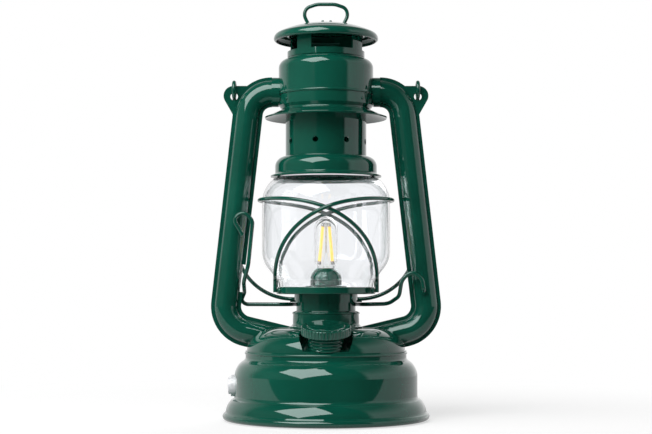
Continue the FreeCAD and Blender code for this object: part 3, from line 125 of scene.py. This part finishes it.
def green_enamel(name, drift_scale, peel_scale):
    """Gloss enamel: drift in colour, slight change in gloss, orange peel."""
    material, tree, shader, place = start_material(name)
    drift = grain(tree, place, drift_scale)
    tree.links.new(blend_colours(tree, drift, ENAMEL_DEEP, ENAMEL_LIGHT), shader.inputs["Base Color"])
    gloss = grain(tree, place, drift_scale * GLOSS_FINENESS)
    tree.links.new(spread(tree, gloss, *ENAMEL_ROUGHNESS), shader.inputs["Roughness"])
    raise_relief(tree, shader, grain(tree, place, peel_scale, detail=1.0), PEEL_STRENGTH, PEEL_DEPTH)
    shader.inputs["IOR"].default_value = ENAMEL_IOR
    shader.inputs["Specular Tint"].default_value = ENAMEL_SHEEN
    shader.inputs["Coat Weight"].default_value = 1.0
    shader.inputs["Coat Roughness"].default_value = COAT_ROUGHNESS
    return material


sheet_enamel = green_enamel("green_sheet_enamel", drift_scale=22.0, peel_scale=420.0)
finish_nodes(sheet_enamel, "base_shell", "base_plate", "screw_bosses")

# Bottom plate screws: four short machine screws, driven up into the bosses through the plate.
# They are zinc-plated steel, with fine dull streaks in the plating.
STEEL_DULL = (0.42, 0.42, 0.41, 1.0)
STEEL_BRIGHT = (0.62, 0.62, 0.61, 1.0)
STEEL_ROUGHNESS = (0.22, 0.38)


def follow_grain(tree, shader, pattern, colours, roughness):
    """Colour and roughness that both follow one grain."""
    tree.links.new(blend_colours(tree, pattern, *colours), shader.inputs["Base Color"])
    tree.links.new(spread(tree, pattern, *roughness), shader.inputs["Roughness"])


steel, tree, shader, place = start_material("bright_steel")
streaks = grain(tree, place, scale=700.0, detail=3.0)
follow_grain(tree, shader, streaks, (STEEL_DULL, STEEL_BRIGHT), STEEL_ROUGHNESS)
shader.inputs["Metallic"].default_value = 1.0
finish_nodes(steel, "base_plate_screws")

# Rubber feet: four moulded pads of black rubber, fixed under the bottom plate.
# A dusty bloom lies on them, over a fine moulded grain.
RUBBER_BLACK = (0.012, 0.012, 0.012, 1.0)
RUBBER_BLOOM = (0.034, 0.034, 0.033, 1.0)
RUBBER_ROUGHNESS = (0.6, 0.85)
RUBBER_RELIEF = 0.3
RUBBER_DEPTH = 0.0001
rubber, tree, shader, place = start_material("black_rubber")
bloom = grain(tree, place, scale=160.0, detail=4.0)
follow_grain(tree, shader, bloom, (RUBBER_BLACK, RUBBER_BLOOM), RUBBER_ROUGHNESS)
raise_relief(tree, shader, grain(tree, place, scale=1500.0), RUBBER_RELIEF, RUBBER_DEPTH)
finish_nodes(rubber, "rubber_feet")

# Battery cells: three steel cans side by side in the tray, each in a blue shrink sleeve.
# The sleeve is a little uneven in depth and gloss where it has shrunk.
SLEEVE_DEEP = (0.03, 0.10, 0.26, 1.0)
SLEEVE_LIGHT = (0.05, 0.15, 0.36, 1.0)
SLEEVE_ROUGHNESS = (0.22, 0.34)
sleeve, tree, shader, place = start_material("cell_sleeve")
shrink = grain(tree, place, scale=80.0, detail=3.0)
follow_grain(tree, shader, shrink, (SLEEVE_DEEP, SLEEVE_LIGHT), SLEEVE_ROUGHNESS)
finish_nodes(sleeve, "battery_cells")

# Battery tray and board posts: moulded black plastic, standing in the base under the dome.
# The mould leaves a fine spark-eroded grain on them.
PLASTIC_DEEP = (0.018, 0.018, 0.019, 1.0)
PLASTIC_LIGHT = (0.03, 0.03, 0.032, 1.0)
PLASTIC_ROUGHNESS = (0.38, 0.55)
PLASTIC_RELIEF = 0.3
PLASTIC_DEPTH = 0.00008
plastic, tree, shader, place = start_material("moulded_plastic")
spark = grain(tree, place, scale=1100.0)
follow_grain(tree, shader, spark, (PLASTIC_DEEP, PLASTIC_LIGHT), PLASTIC_ROUGHNESS)
raise_relief(tree, shader, spark, PLASTIC_RELIEF, PLASTIC_DEPTH)
finish_nodes(plastic, "battery_tray", "board_posts")

# Circuit board: glass fibre under green lacquer, held on its four posts.
# Copper tracks under the lacquer show as paler lines.
LACQUER_DEEP = (0.008, 0.10, 0.035, 1.0)
LACQUER_LIGHT = (0.010, 0.12, 0.042, 1.0)
TRACK_GREEN = (0.05, 0.26, 0.10, 1.0)
TRACK_SCALE = 90.0
TRACK_WIDTH = 0.05
LACQUER_ROUGHNESS = 0.35
board_lacquer, tree, shader, place = start_material("board_lacquer")
tracks = add_node(tree, "ShaderNodeTexBrick", inputs=(
    ("Scale", TRACK_SCALE), ("Mortar Size", TRACK_WIDTH), ("Color1", LACQUER_DEEP),
    ("Color2", LACQUER_LIGHT), ("Mortar", TRACK_GREEN)))
tree.links.new(place, tracks.inputs["Vector"])
tree.links.new(tracks.outputs["Color"], shader.inputs["Base Color"])
shader.inputs["Roughness"].default_value = LACQUER_ROUGHNESS
finish_nodes(board_lacquer, "circuit_board")

# Leads from the board to the charging socket and the lamp: stranded copper in soft black insulation.
# They are soldered at both ends, and their skin is slightly mottled.
SKIN_DEEP = (0.015, 0.015, 0.015, 1.0)
SKIN_LIGHT = (0.03, 0.03, 0.03, 1.0)
SKIN_ROUGHNESS = (0.4, 0.55)
insulation, tree, shader, place = start_material("lead_insulation")
skin = grain(tree, place, scale=500.0)
follow_grain(tree, shader, skin, (SKIN_DEEP, SKIN_LIGHT), SKIN_ROUGHNESS)
finish_nodes(insulation, "charge_lead", "lamp_lead")

# Push button and its bezel: satin anodised aluminium, faintly brushed. A steel nut clamps the bezel
# from inside the wall, and the moulded switch is behind it.
ANODISED_DULL = (0.82, 0.83, 0.85, 1.0)
ANODISED_BRIGHT = (0.90, 0.91, 0.93, 1.0)
ANODISED_ROUGHNESS = (0.32, 0.46)
ANODISED_METAL = 0.15
anodised, tree, shader, place = start_material("anodised_aluminium")
brushed = grain(tree, place, scale=1400.0)
follow_grain(tree, shader, brushed, (ANODISED_DULL, ANODISED_BRIGHT), ANODISED_ROUGHNESS)
shader.inputs["Metallic"].default_value = ANODISED_METAL
finish_nodes(anodised, "button_bezel", "button_cap")
finish_nodes(steel, "button_nut")
finish_nodes(plastic, "switch_module")

# Dome and filler: the dome is drawn sheet, and neck and cap are thicker turned pieces, dipped in enamel
# with a finer peel. The sealing ring is rubber and the charging socket moulded plastic.
wire_enamel = green_enamel("green_wire_enamel", drift_scale=60.0, peel_scale=800.0)
finish_nodes(sheet_enamel, "tank_dome")
finish_nodes(wire_enamel, "filler_neck", "filler_cap")
finish_nodes(rubber, "filler_gasket")
finish_nodes(plastic, "charge_socket")

# Burner neck, its cone and the lamp holder: neck and cone are drawn sheet under enamel, one on the other,
# and the holder under the neck's top is moulded plastic.
finish_nodes(sheet_enamel, "burner_neck", "burner_cone")
finish_nodes(plastic, "lamp_holder")

# Bulb: thin clear blown glass with a pressed glass stem inside it, on a rolled steel screw cap.
# Steel wires from the stem hold the filaments.
BULB_TINT = (0.99, 0.99, 0.985, 1.0)
BULB_IOR = 1.3
BULB_WAVE = 0.05
BULB_WAVE_DEPTH = 0.0001
GLASS_ROUGHNESS = (0.0, 0.01)


def clear_glass(name, tint, ior, film_scale):
    """Clear glass with a faint film on it, with its tree, shader and object coordinates."""
    material, tree, shader, place = start_material(name)
    shader.inputs["Base Color"].default_value = tint
    shader.inputs["Transmission Weight"].default_value = 1.0
    shader.inputs["IOR"].default_value = ior
    film = grain(tree, place, film_scale)
    tree.links.new(spread(tree, film, *GLASS_ROUGHNESS), shader.inputs["Roughness"])
    return material, tree, shader, place


bulb_glass, tree, shader, place = clear_glass("bulb_glass", BULB_TINT, BULB_IOR, film_scale=90.0)
raise_relief(tree, shader, grain(tree, place, scale=120.0, detail=1.0), BULB_WAVE, BULB_WAVE_DEPTH)
finish_nodes(bulb_glass, "bulb_glass", "bulb_stem")
finish_nodes(steel, "bulb_cap", "filament_supports")

# Filaments: four thin rods of light chips, coated in a warm yellow phosphor.
# They glow gently, so that the phosphor's own colour still shows.
FILAMENT_CORE = (1.0, 0.74, 0.20, 1.0)
FILAMENT_EDGE = (1.0, 0.60, 0.10, 1.0)
FILAMENT_GLOW = 0.85
FILAMENT_ROUGHNESS = 0.5
filament_glow, tree, shader, place = start_material("filament_phosphor")
phosphor = blend_colours(tree, grain(tree, place, scale=900.0), FILAMENT_EDGE, FILAMENT_CORE)
tree.links.new(phosphor, shader.inputs["Base Color"])
tree.links.new(phosphor, shader.inputs["Emission Color"])
shader.inputs["Emission Strength"].default_value = FILAMENT_GLOW
shader.inputs["Roughness"].default_value = FILAMENT_ROUGHNESS
finish_nodes(filament_glow, "led_filaments")

# Filament clips: a steel tab pinched round each end of each filament rod, welded to the wires.
# A filament's foot and tip are given as the distance from the axis and the height.
FILAMENT_DIRECTIONS = (30.0, 150.0, 210.0, 330.0)
FILAMENT_FOOT = (0.0050, 0.1020)
FILAMENT_TIP = (0.0024, 0.1270)
CLIP_RADIUS = 0.00115
CLIP_LENGTH = 0.0020
CLIP_INSET = CLIP_RADIUS * 0.4
CLIP_RISE = CLIP_LENGTH * 0.1
CLIP_EDGE = CLIP_RADIUS * 0.2
TOP_FACING = 0.9
EDGE_SEGMENTS = 2
STUD_SIDES = 16
FINE_STUD_SIDES = 12
SMOOTH_ANGLE = 40.0


def apply_modifier(piece, kind, settings):
    """Add a modifier, set it and apply it."""
    modifier = piece.modifiers.new(kind.lower(), kind)
    for setting, value in settings:
        setattr(modifier, setting, value)
    bpy.context.view_layer.objects.active = piece
    bpy.ops.object.modifier_apply(modifier=modifier.name)


def add_stud(radius, length, inset, rise, edge, sides=STUD_SIDES):
    """Short round stud along +Z whose top is drawn in and raised, with rounded edges."""
    bpy.ops.object.select_all(action="DESELECT")
    bpy.ops.mesh.primitive_cylinder_add(vertices=sides, radius=radius, depth=length)
    stud = bpy.context.object
    bpy.ops.object.mode_set(mode="EDIT")
    bpy.ops.mesh.select_all(action="DESELECT")
    bpy.ops.object.mode_set(mode="OBJECT")
    for face in stud.data.polygons:
        face.select = face.normal.z > TOP_FACING
    bpy.ops.object.mode_set(mode="EDIT")
    bpy.ops.mesh.inset(thickness=inset)
    bpy.ops.transform.translate(value=(0.0, 0.0, rise))
    bpy.ops.object.mode_set(mode="OBJECT")
    apply_modifier(stud, "BEVEL", (("width", edge), ("segments", EDGE_SEGMENTS), ("limit_method", "ANGLE")))
    return stud


def stand(piece, place, direction):
    """Put a piece at a place with its +Z along a direction, and bake that into its mesh."""
    bpy.ops.object.select_all(action="DESELECT")
    piece.select_set(True)
    bpy.context.view_layer.objects.active = piece
    piece.location = place
    piece.rotation_euler = Vector(direction).to_track_quat("Z", "Y").to_euler()
    bpy.ops.object.transform_apply(location=True, rotation=True, scale=True)


def join_piece(parts, name, body, material):
    """Join meshes to one smooth piece with a name and a finish that rides on a body."""
    bpy.ops.object.select_all(action="DESELECT")
    for part in parts:
        part.select_set(True)
    bpy.context.view_layer.objects.active = parts[0]
    if len(parts) > 1:
        bpy.ops.object.join()
    piece = bpy.context.object
    bpy.ops.object.shade_smooth_by_angle(angle=math.radians(SMOOTH_ANGLE))
    piece.name = name
    piece.data.name = name
    piece.data.materials.clear()
    piece.data.materials.append(material)
    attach(piece, body)
    return piece


def filament_end(turn, end):
    """Place of a filament's foot or tip in one direction."""
    out, up = end
    return Vector((out * math.cos(turn), out * math.sin(turn), up))


clips = []
for degrees in FILAMENT_DIRECTIONS:
    turn = math.radians(degrees)
    foot = filament_end(turn, FILAMENT_FOOT)
    tip = filament_end(turn, FILAMENT_TIP)
    for end in (foot, tip):
        clip = add_stud(CLIP_RADIUS, CLIP_LENGTH, CLIP_INSET, CLIP_RISE, CLIP_EDGE, FINE_STUD_SIDES)
        stand(clip, end, tip - foot)
        clips.append(clip)
join_piece(clips, "filament_clips", "frame", steel)

# Side tubes and their sockets: pressed half shells of sheet steel, welded flange to flange and sprayed.
# The lever's bush is pressed into the right tube.
tube_enamel = green_enamel("green_tube_enamel", drift_scale=34.0, peel_scale=520.0)
finish_nodes(tube_enamel, "tube_right_front", "tube_right_rear", "tube_left_front", "tube_left_rear",
             "tube_sockets", "lever_bush")

# Air chamber: the drum between the tubes' upper ends, of drawn sheet under the same enamel as the base.
# Its two halves are pushed together at the bead.
finish_nodes(sheet_enamel, "chamber_lower", "chamber_upper")

# Chamber dimples: small domes punched outwards in the sheet, which lock the lower half on its lining.
# Directions are degrees to the right of the front.
DIMPLE_RADIUS = 0.0010
DIMPLE_DEPTH = 0.0008
DIMPLE_INSET = DIMPLE_RADIUS * 0.45
DIMPLE_RISE = DIMPLE_DEPTH * 0.2
DIMPLE_EDGE = DIMPLE_RADIUS * 0.15
CHAMBER_SIDE = 0.0310
DIMPLE_HEIGHT = 0.2085
DIMPLE_DIRECTIONS = (-56.0, 49.0, 131.0, -124.0)
dimples = []
for degrees in DIMPLE_DIRECTIONS:
    turn = math.radians(degrees)
    outward = Vector((math.sin(turn), -math.cos(turn), 0.0))
    dimple = add_stud(DIMPLE_RADIUS, DIMPLE_DEPTH, DIMPLE_INSET, DIMPLE_RISE, DIMPLE_EDGE)
    stand(dimple, outward * CHAMBER_SIDE + Vector((0.0, 0.0, DIMPLE_HEIGHT)), outward)
    dimples.append(dimple)
join_piece(dimples, "chamber_dimples", "frame", sheet_enamel)

# Crown: chimney tube, globe cap, hood and the ring of posts between them, all drawn sheet under enamel.
# The top ring is bent from wire, and its feet pass through the hood.
finish_nodes(sheet_enamel, "chimney_tube", "globe_bell", "hood", "hood_posts")
finish_nodes(wire_enamel, "hood_ring")

# Crown spring: round steel wire wound open, round the chimney inside the air chamber. The upper turns
# ride on the frame, and the lower turns move with the globe carriage.
SPRING_BOTTOM = 0.20805
SPRING_MIDDLE = 0.2213
SPRING_TOP = 0.2345
SPRING_RADIUS = 0.02555
SPRING_WIRE = 0.00060
SPRING_TURNS = 4
STEPS_PER_TURN = 40
WIRE_SIDES = 10
SPRING_DULL = (0.30, 0.30, 0.30, 1.0)
SPRING_ROUGHNESS = (0.22, 0.34)
spring_steel, tree, shader, place = start_material("spring_steel")
drawn = grain(tree, place, scale=900.0)
follow_grain(tree, shader, drawn, (SPRING_DULL, STEEL_BRIGHT), SPRING_ROUGHNESS)
shader.inputs["Metallic"].default_value = 1.0


def wind_spring(low, high):
    """Open coil of round wire between two heights."""
    bpy.ops.object.select_all(action="DESELECT")
    bpy.ops.mesh.primitive_circle_add(vertices=WIRE_SIDES, radius=SPRING_WIRE, fill_type="NOTHING",
                                      location=(SPRING_RADIUS, 0.0, low + SPRING_WIRE),
                                      rotation=(math.radians(90.0), 0.0, 0.0))
    coil = bpy.context.object
    bpy.ops.object.transform_apply(location=True, rotation=True, scale=True)
    pitch = (high - low - SPRING_WIRE * 2.0) / SPRING_TURNS
    apply_modifier(coil, "SCREW", (("axis", "Z"), ("screw_offset", pitch), ("iterations", SPRING_TURNS),
                                   ("steps", STEPS_PER_TURN), ("render_steps", STEPS_PER_TURN),
                                   ("use_normal_calculate", True)))
    bpy.ops.object.mode_set(mode="EDIT")
    bpy.ops.mesh.select_all(action="DESELECT")
    bpy.ops.mesh.select_non_manifold()
    bpy.ops.mesh.fill()
    bpy.ops.mesh.select_all(action="SELECT")
    bpy.ops.mesh.normals_make_consistent(inside=False)
    bpy.ops.object.mode_set(mode="OBJECT")
    return coil


upper_turns = join_piece([wind_spring(SPRING_MIDDLE, SPRING_TOP)], "spring_upper_turns", "frame",
                         spring_steel)
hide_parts("crown_spring")
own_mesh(upper_turns)
lower_turns = join_piece([wind_spring(SPRING_BOTTOM, SPRING_MIDDLE)], "spring_lower_turns", "globe_carriage",
                         spring_steel)
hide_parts("crown_spring")
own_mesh(lower_turns)
finish_nodes(spring_steel, "crown_spring")

# Ring eyelets: the collars where the top ring's feet pass through the hood, rolled over and soldered.
# They are small sheet steel rounds that lie square to the hood's slope.
EYELET_RADIUS = 0.0024
EYELET_DEPTH = 0.0014
EYELET_INSET = EYELET_RADIUS * 0.3
EYELET_RISE = EYELET_DEPTH * 0.25
EYELET_EDGE = EYELET_RADIUS * 0.15
RING_FOOT = 0.0116
HOOD_AT_FOOT = 0.2597
HOOD_SLOPE = 0.107
eyelets = []
for side in (-1.0, 1.0):
    eyelet = add_stud(EYELET_RADIUS, EYELET_DEPTH, EYELET_INSET, EYELET_RISE, EYELET_EDGE)
    stand(eyelet, (side * RING_FOOT, 0.0, HOOD_AT_FOOT), (side * HOOD_SLOPE, 0.0, 1.0))
    eyelets.append(eyelet)
join_piece(eyelets, "ring_eyelets", "crown", wire_enamel)

# Hood clip ends: the two prongs of the steel clip under the hood, pushed through its top and bent apart.
# They are painted together with the hood.
PRONG_RADIUS = 0.0009
PRONG_LENGTH = 0.0042
PRONG_INSET = PRONG_RADIUS * 0.4
PRONG_RISE = PRONG_RADIUS * 0.3
PRONG_EDGE = PRONG_RADIUS * 0.2
PRONG_PLACES = (-0.0020, 0.0028)
PRONG_LEAN = 60.0
HOOD_CREST = 0.2603
prongs = []
for across in PRONG_PLACES:
    prong = add_stud(PRONG_RADIUS, PRONG_LENGTH, PRONG_INSET, PRONG_RISE, PRONG_EDGE, FINE_STUD_SIDES)
    stand(prong, (across, 0.0, HOOD_CREST), (across * PRONG_LEAN, 0.0, 1.0))
    prongs.append(prong)
join_piece(prongs, "hood_clip_ends", "crown", wire_enamel)

# Glass globe: thick clear borosilicate, blown in a mould and held between its plate and the globe cap.
# A slow faint waviness runs through its wall.
GLOBE_TINT = (0.958, 0.967, 0.980, 1.0)
GLOBE_IOR = 1.47
GLOBE_WAVE = 0.06
GLOBE_WAVE_DEPTH = 0.0002
globe_glass, tree, shader, place = clear_glass("globe_glass", GLOBE_TINT, GLOBE_IOR, film_scale=45.0)
raise_relief(tree, shader, grain(tree, place, scale=14.0, detail=0.0), GLOBE_WAVE, GLOBE_WAVE_DEPTH)
finish_nodes(globe_glass, "globe")

# Globe plate and guard wires: a perforated sheet dish on a sleeve that slides on the burner neck.
# Two bent wire hoops cross round the globe, and rivets hold their feet at the dish's rim.
finish_nodes(sheet_enamel, "globe_plate")
finish_nodes(wire_enamel, "guard_wire_left", "guard_wire_right", "guard_rivets")

# Lift lever and carrying bail: bent steel wire, dipped in the same enamel as the filler cap.
# The lever turns in its bush, and the bail's eyes hang in the ears of the tubes.
finish_nodes(wire_enamel, "globe_lever", "bail")

# Floor: a pale matt sweep that keeps the lantern's soft shadow and runs out to white. Gloss sees the sweep
# half as bright, and its end a little in front of the lantern.
FLOOR_WIDTH = 6.0
FLOOR_PALE = (0.45, 0.45, 0.45, 1.0)
FLOOR_LIFT = 0.62
FADE_START = 0.13
FADE_END = 0.42
SWEEP_FRONT = -0.16
SWEEP_DIM = 0.5
ROOM_DARK = 0.03
bpy.ops.object.select_all(action="DESELECT")
bpy.ops.mesh.primitive_plane_add(size=FLOOR_WIDTH)
floor = bpy.context.object
floor.name = "floor"
floor_paper = bpy.data.materials.new("floor_paper")
floor_paper.use_nodes = True
tree = floor_paper.node_tree
tree.nodes.remove(tree.nodes["Principled BSDF"])
place = add_node(tree, "ShaderNodeTexCoord").outputs["Object"]
ray = add_node(tree, "ShaderNodeLightPath")


def maths(tree, operation, first, second):
    """Sum, product or the like of two sockets, or of a socket and a number."""
    node = add_node(tree, "ShaderNodeMath", (("operation", operation),))
    for index, value in enumerate((first, second)):
        if isinstance(value, float):
            node.inputs[index].default_value = value
        else:
            tree.links.new(value, node.inputs[index])
    return node.outputs[0]


def mix_shaders(tree, share, first, second):
    """Two shaders mixed by a share."""
    node = add_node(tree, "ShaderNodeMixShader")
    tree.links.new(share, node.inputs[0])
    tree.links.new(first, node.inputs[1])
    tree.links.new(second, node.inputs[2])
    return node.outputs[0]


paper = add_node(tree, "ShaderNodeBsdfDiffuse", inputs=(("Color", FLOOR_PALE),)).outputs[0]
lift = add_node(tree, "ShaderNodeEmission", inputs=(("Strength", FLOOR_LIFT),)).outputs[0]
white = add_node(tree, "ShaderNodeEmission").outputs[0]
dark = add_node(tree, "ShaderNodeEmission", inputs=(("Strength", ROOM_DARK),)).outputs[0]
lifted = add_node(tree, "ShaderNodeAddShader")
tree.links.new(paper, lifted.inputs[0])
tree.links.new(lift, lifted.inputs[1])
reach = add_node(tree, "ShaderNodeVectorMath", (("operation", "LENGTH"),))
tree.links.new(place, reach.inputs[0])
fade = add_node(tree, "ShaderNodeMapRange", (("interpolation_type", "SMOOTHSTEP"),), (
    ("From Min", FADE_START), ("From Max", FADE_END)))
tree.links.new(reach.outputs["Value"], fade.inputs["Value"])
sweep = mix_shaders(tree, fade.outputs["Result"], lifted.outputs[0], white)
axes = add_node(tree, "ShaderNodeSeparateXYZ")
tree.links.new(place, axes.inputs[0])
in_front = maths(tree, "LESS_THAN", axes.outputs["Y"], SWEEP_FRONT)
mirrored = maths(tree, "GREATER_THAN", ray.outputs["Is Glossy Ray"], ray.outputs["Is Transmission Ray"])
dark_share = maths(tree, "MULTIPLY", maths(tree, "MAXIMUM", in_front, SWEEP_DIM), mirrored)
seen_sweep = mix_shaders(tree, dark_share, sweep, dark)
seen = maths(tree, "MAXIMUM", ray.outputs["Is Camera Ray"],
             maths(tree, "MAXIMUM", ray.outputs["Is Glossy Ray"], ray.outputs["Is Transmission Ray"]))
tree.links.new(mix_shaders(tree, seen, paper, seen_sweep), tree.nodes["Material Output"].inputs["Surface"])
floor.data.materials.append(floor_paper)

# Studio: a white sweep behind and on the right, a dim board on the left and dark on the camera's side,
# as the gloss shows them: degrees to the right of the front, and brightness. Elsewhere the light is even.
ROOM_LIGHT = 0.07
SWEEP_STOPS = ((-180.0, 0.85), (-150.0, 0.6), (-116.0, 0.55), (-100.0, 0.12), (-28.0, 0.12), (-25.0, 0.03),
               (50.0, 0.03), (57.0, 0.6), (130.0, 0.6), (180.0, 0.85))
FULL_TURN = 360.0
FRONT_SHARE = 0.5
CEILING_START = 0.45
CEILING_END = 0.8
CEILING_LIGHT = 0.12
world = bpy.data.worlds.new("studio")
scene.world = world
world.use_nodes = True
tree = world.node_tree
sky = tree.nodes["Background"]
sky.inputs["Color"].default_value = (1.0, 1.0, 1.0, 1.0)
axes = add_node(tree, "ShaderNodeSeparateXYZ")
tree.links.new(add_node(tree, "ShaderNodeTexCoord").outputs["Generated"], axes.inputs[0])
bearing = maths(tree, "ARCTAN2", axes.outputs["X"], maths(tree, "MULTIPLY", axes.outputs["Y"], -1.0))
turn_share = maths(tree, "ADD", maths(tree, "DIVIDE", bearing, math.tau), FRONT_SHARE)
stops = add_node(tree, "ShaderNodeValToRGB")
stops.color_ramp.elements.remove(stops.color_ramp.elements[1])
for index, (degrees, brightness) in enumerate(SWEEP_STOPS):
    position = degrees / FULL_TURN + FRONT_SHARE
    stop = stops.color_ramp.elements.new(position) if index else stops.color_ramp.elements[0]
    stop.position = position
    stop.color = (brightness, brightness, brightness, 1.0)
tree.links.new(turn_share, stops.inputs["Fac"])
ceiling = add_node(tree, "ShaderNodeMapRange", inputs=(
    ("From Min", CEILING_START), ("From Max", CEILING_END), ("To Min", 1.0), ("To Max", CEILING_LIGHT)))
tree.links.new(axes.outputs["Z"], ceiling.inputs["Value"])
gloss_sees = maths(tree, "MULTIPLY", stops.outputs["Color"], ceiling.outputs["Result"])
ray = add_node(tree, "ShaderNodeLightPath")
room = add_node(tree, "ShaderNodeMix", (("data_type", "FLOAT"),), (("A", ROOM_LIGHT),))
tree.links.new(ray.outputs["Is Glossy Ray"], room.inputs["Factor"])
tree.links.new(gloss_sees, room.inputs["B"])
level = add_node(tree, "ShaderNodeMix", (("data_type", "FLOAT"),), (("B", 1.0),))
tree.links.new(maths(tree, "MAXIMUM", ray.outputs["Is Camera Ray"], ray.outputs["Is Transmission Ray"]),
               level.inputs["Factor"])
tree.links.new(room.outputs["Result"], level.inputs["A"])
tree.links.new(level.outputs["Result"], sky.inputs["Strength"])

# Soft boxes: name, direction from the front in degrees to the right, height angle, distance, width, height,
# roll, brightness of the cloth and whether the gloss shows it. The key box stands on its corner.
AIM = Vector((0.0, 0.0, 0.13))
SOFT_BOXES = (
    ("key_box", -31.0, 43.0, 1.7, 1.46, 1.46, 45.0, 4.0, True),
    ("side_box", -72.0, 12.0, 1.5, 0.9, 1.3, 0.0, 3.1, False),
    ("rear_box", 155.0, 32.0, 1.7, 1.2, 1.2, 0.0, 2.2, False),
)
for name, aside, up, distance, width, height, roll, cloth, in_gloss in SOFT_BOXES:
    lamp = bpy.data.lights.new(name, "AREA")
    lamp.shape = "RECTANGLE"
    lamp.size = width
    lamp.size_y = height
    lamp.energy = cloth * math.pi * width * height
    holder = bpy.data.objects.new(name, lamp)
    holder.visible_glossy = in_gloss
    scene.collection.objects.link(holder)
    turn = math.radians(aside)
    rise = math.radians(up)
    holder.location = AIM + distance * Vector((
        math.sin(turn) * math.cos(rise), -math.cos(turn) * math.cos(rise), math.sin(rise)))
    facing = (AIM - holder.location).to_track_quat("-Z", "Y").to_matrix()
    holder.rotation_euler = (facing @ Matrix.Rotation(math.radians(roll), 3, "Z")).to_euler()

# Camera: a long lens straight in front, at the height of the burner neck's top and tipped slightly up.
CAMERA_BACK = 0.966
CAMERA_HEIGHT = 0.087
CAMERA_LEVEL = 90.0
CAMERA_TIP = 2.7
CAMERA_LENS = 81.3
SENSOR_WIDTH = 36.0
camera = bpy.data.objects.new("camera", bpy.data.cameras.new("camera"))
scene.collection.objects.link(camera)
camera.data.lens = CAMERA_LENS
camera.data.sensor_width = SENSOR_WIDTH
camera.location = (0.0, -CAMERA_BACK, CAMERA_HEIGHT)
camera.rotation_euler = (math.radians(CAMERA_LEVEL + CAMERA_TIP), 0.0, 0.0)
scene.camera = camera
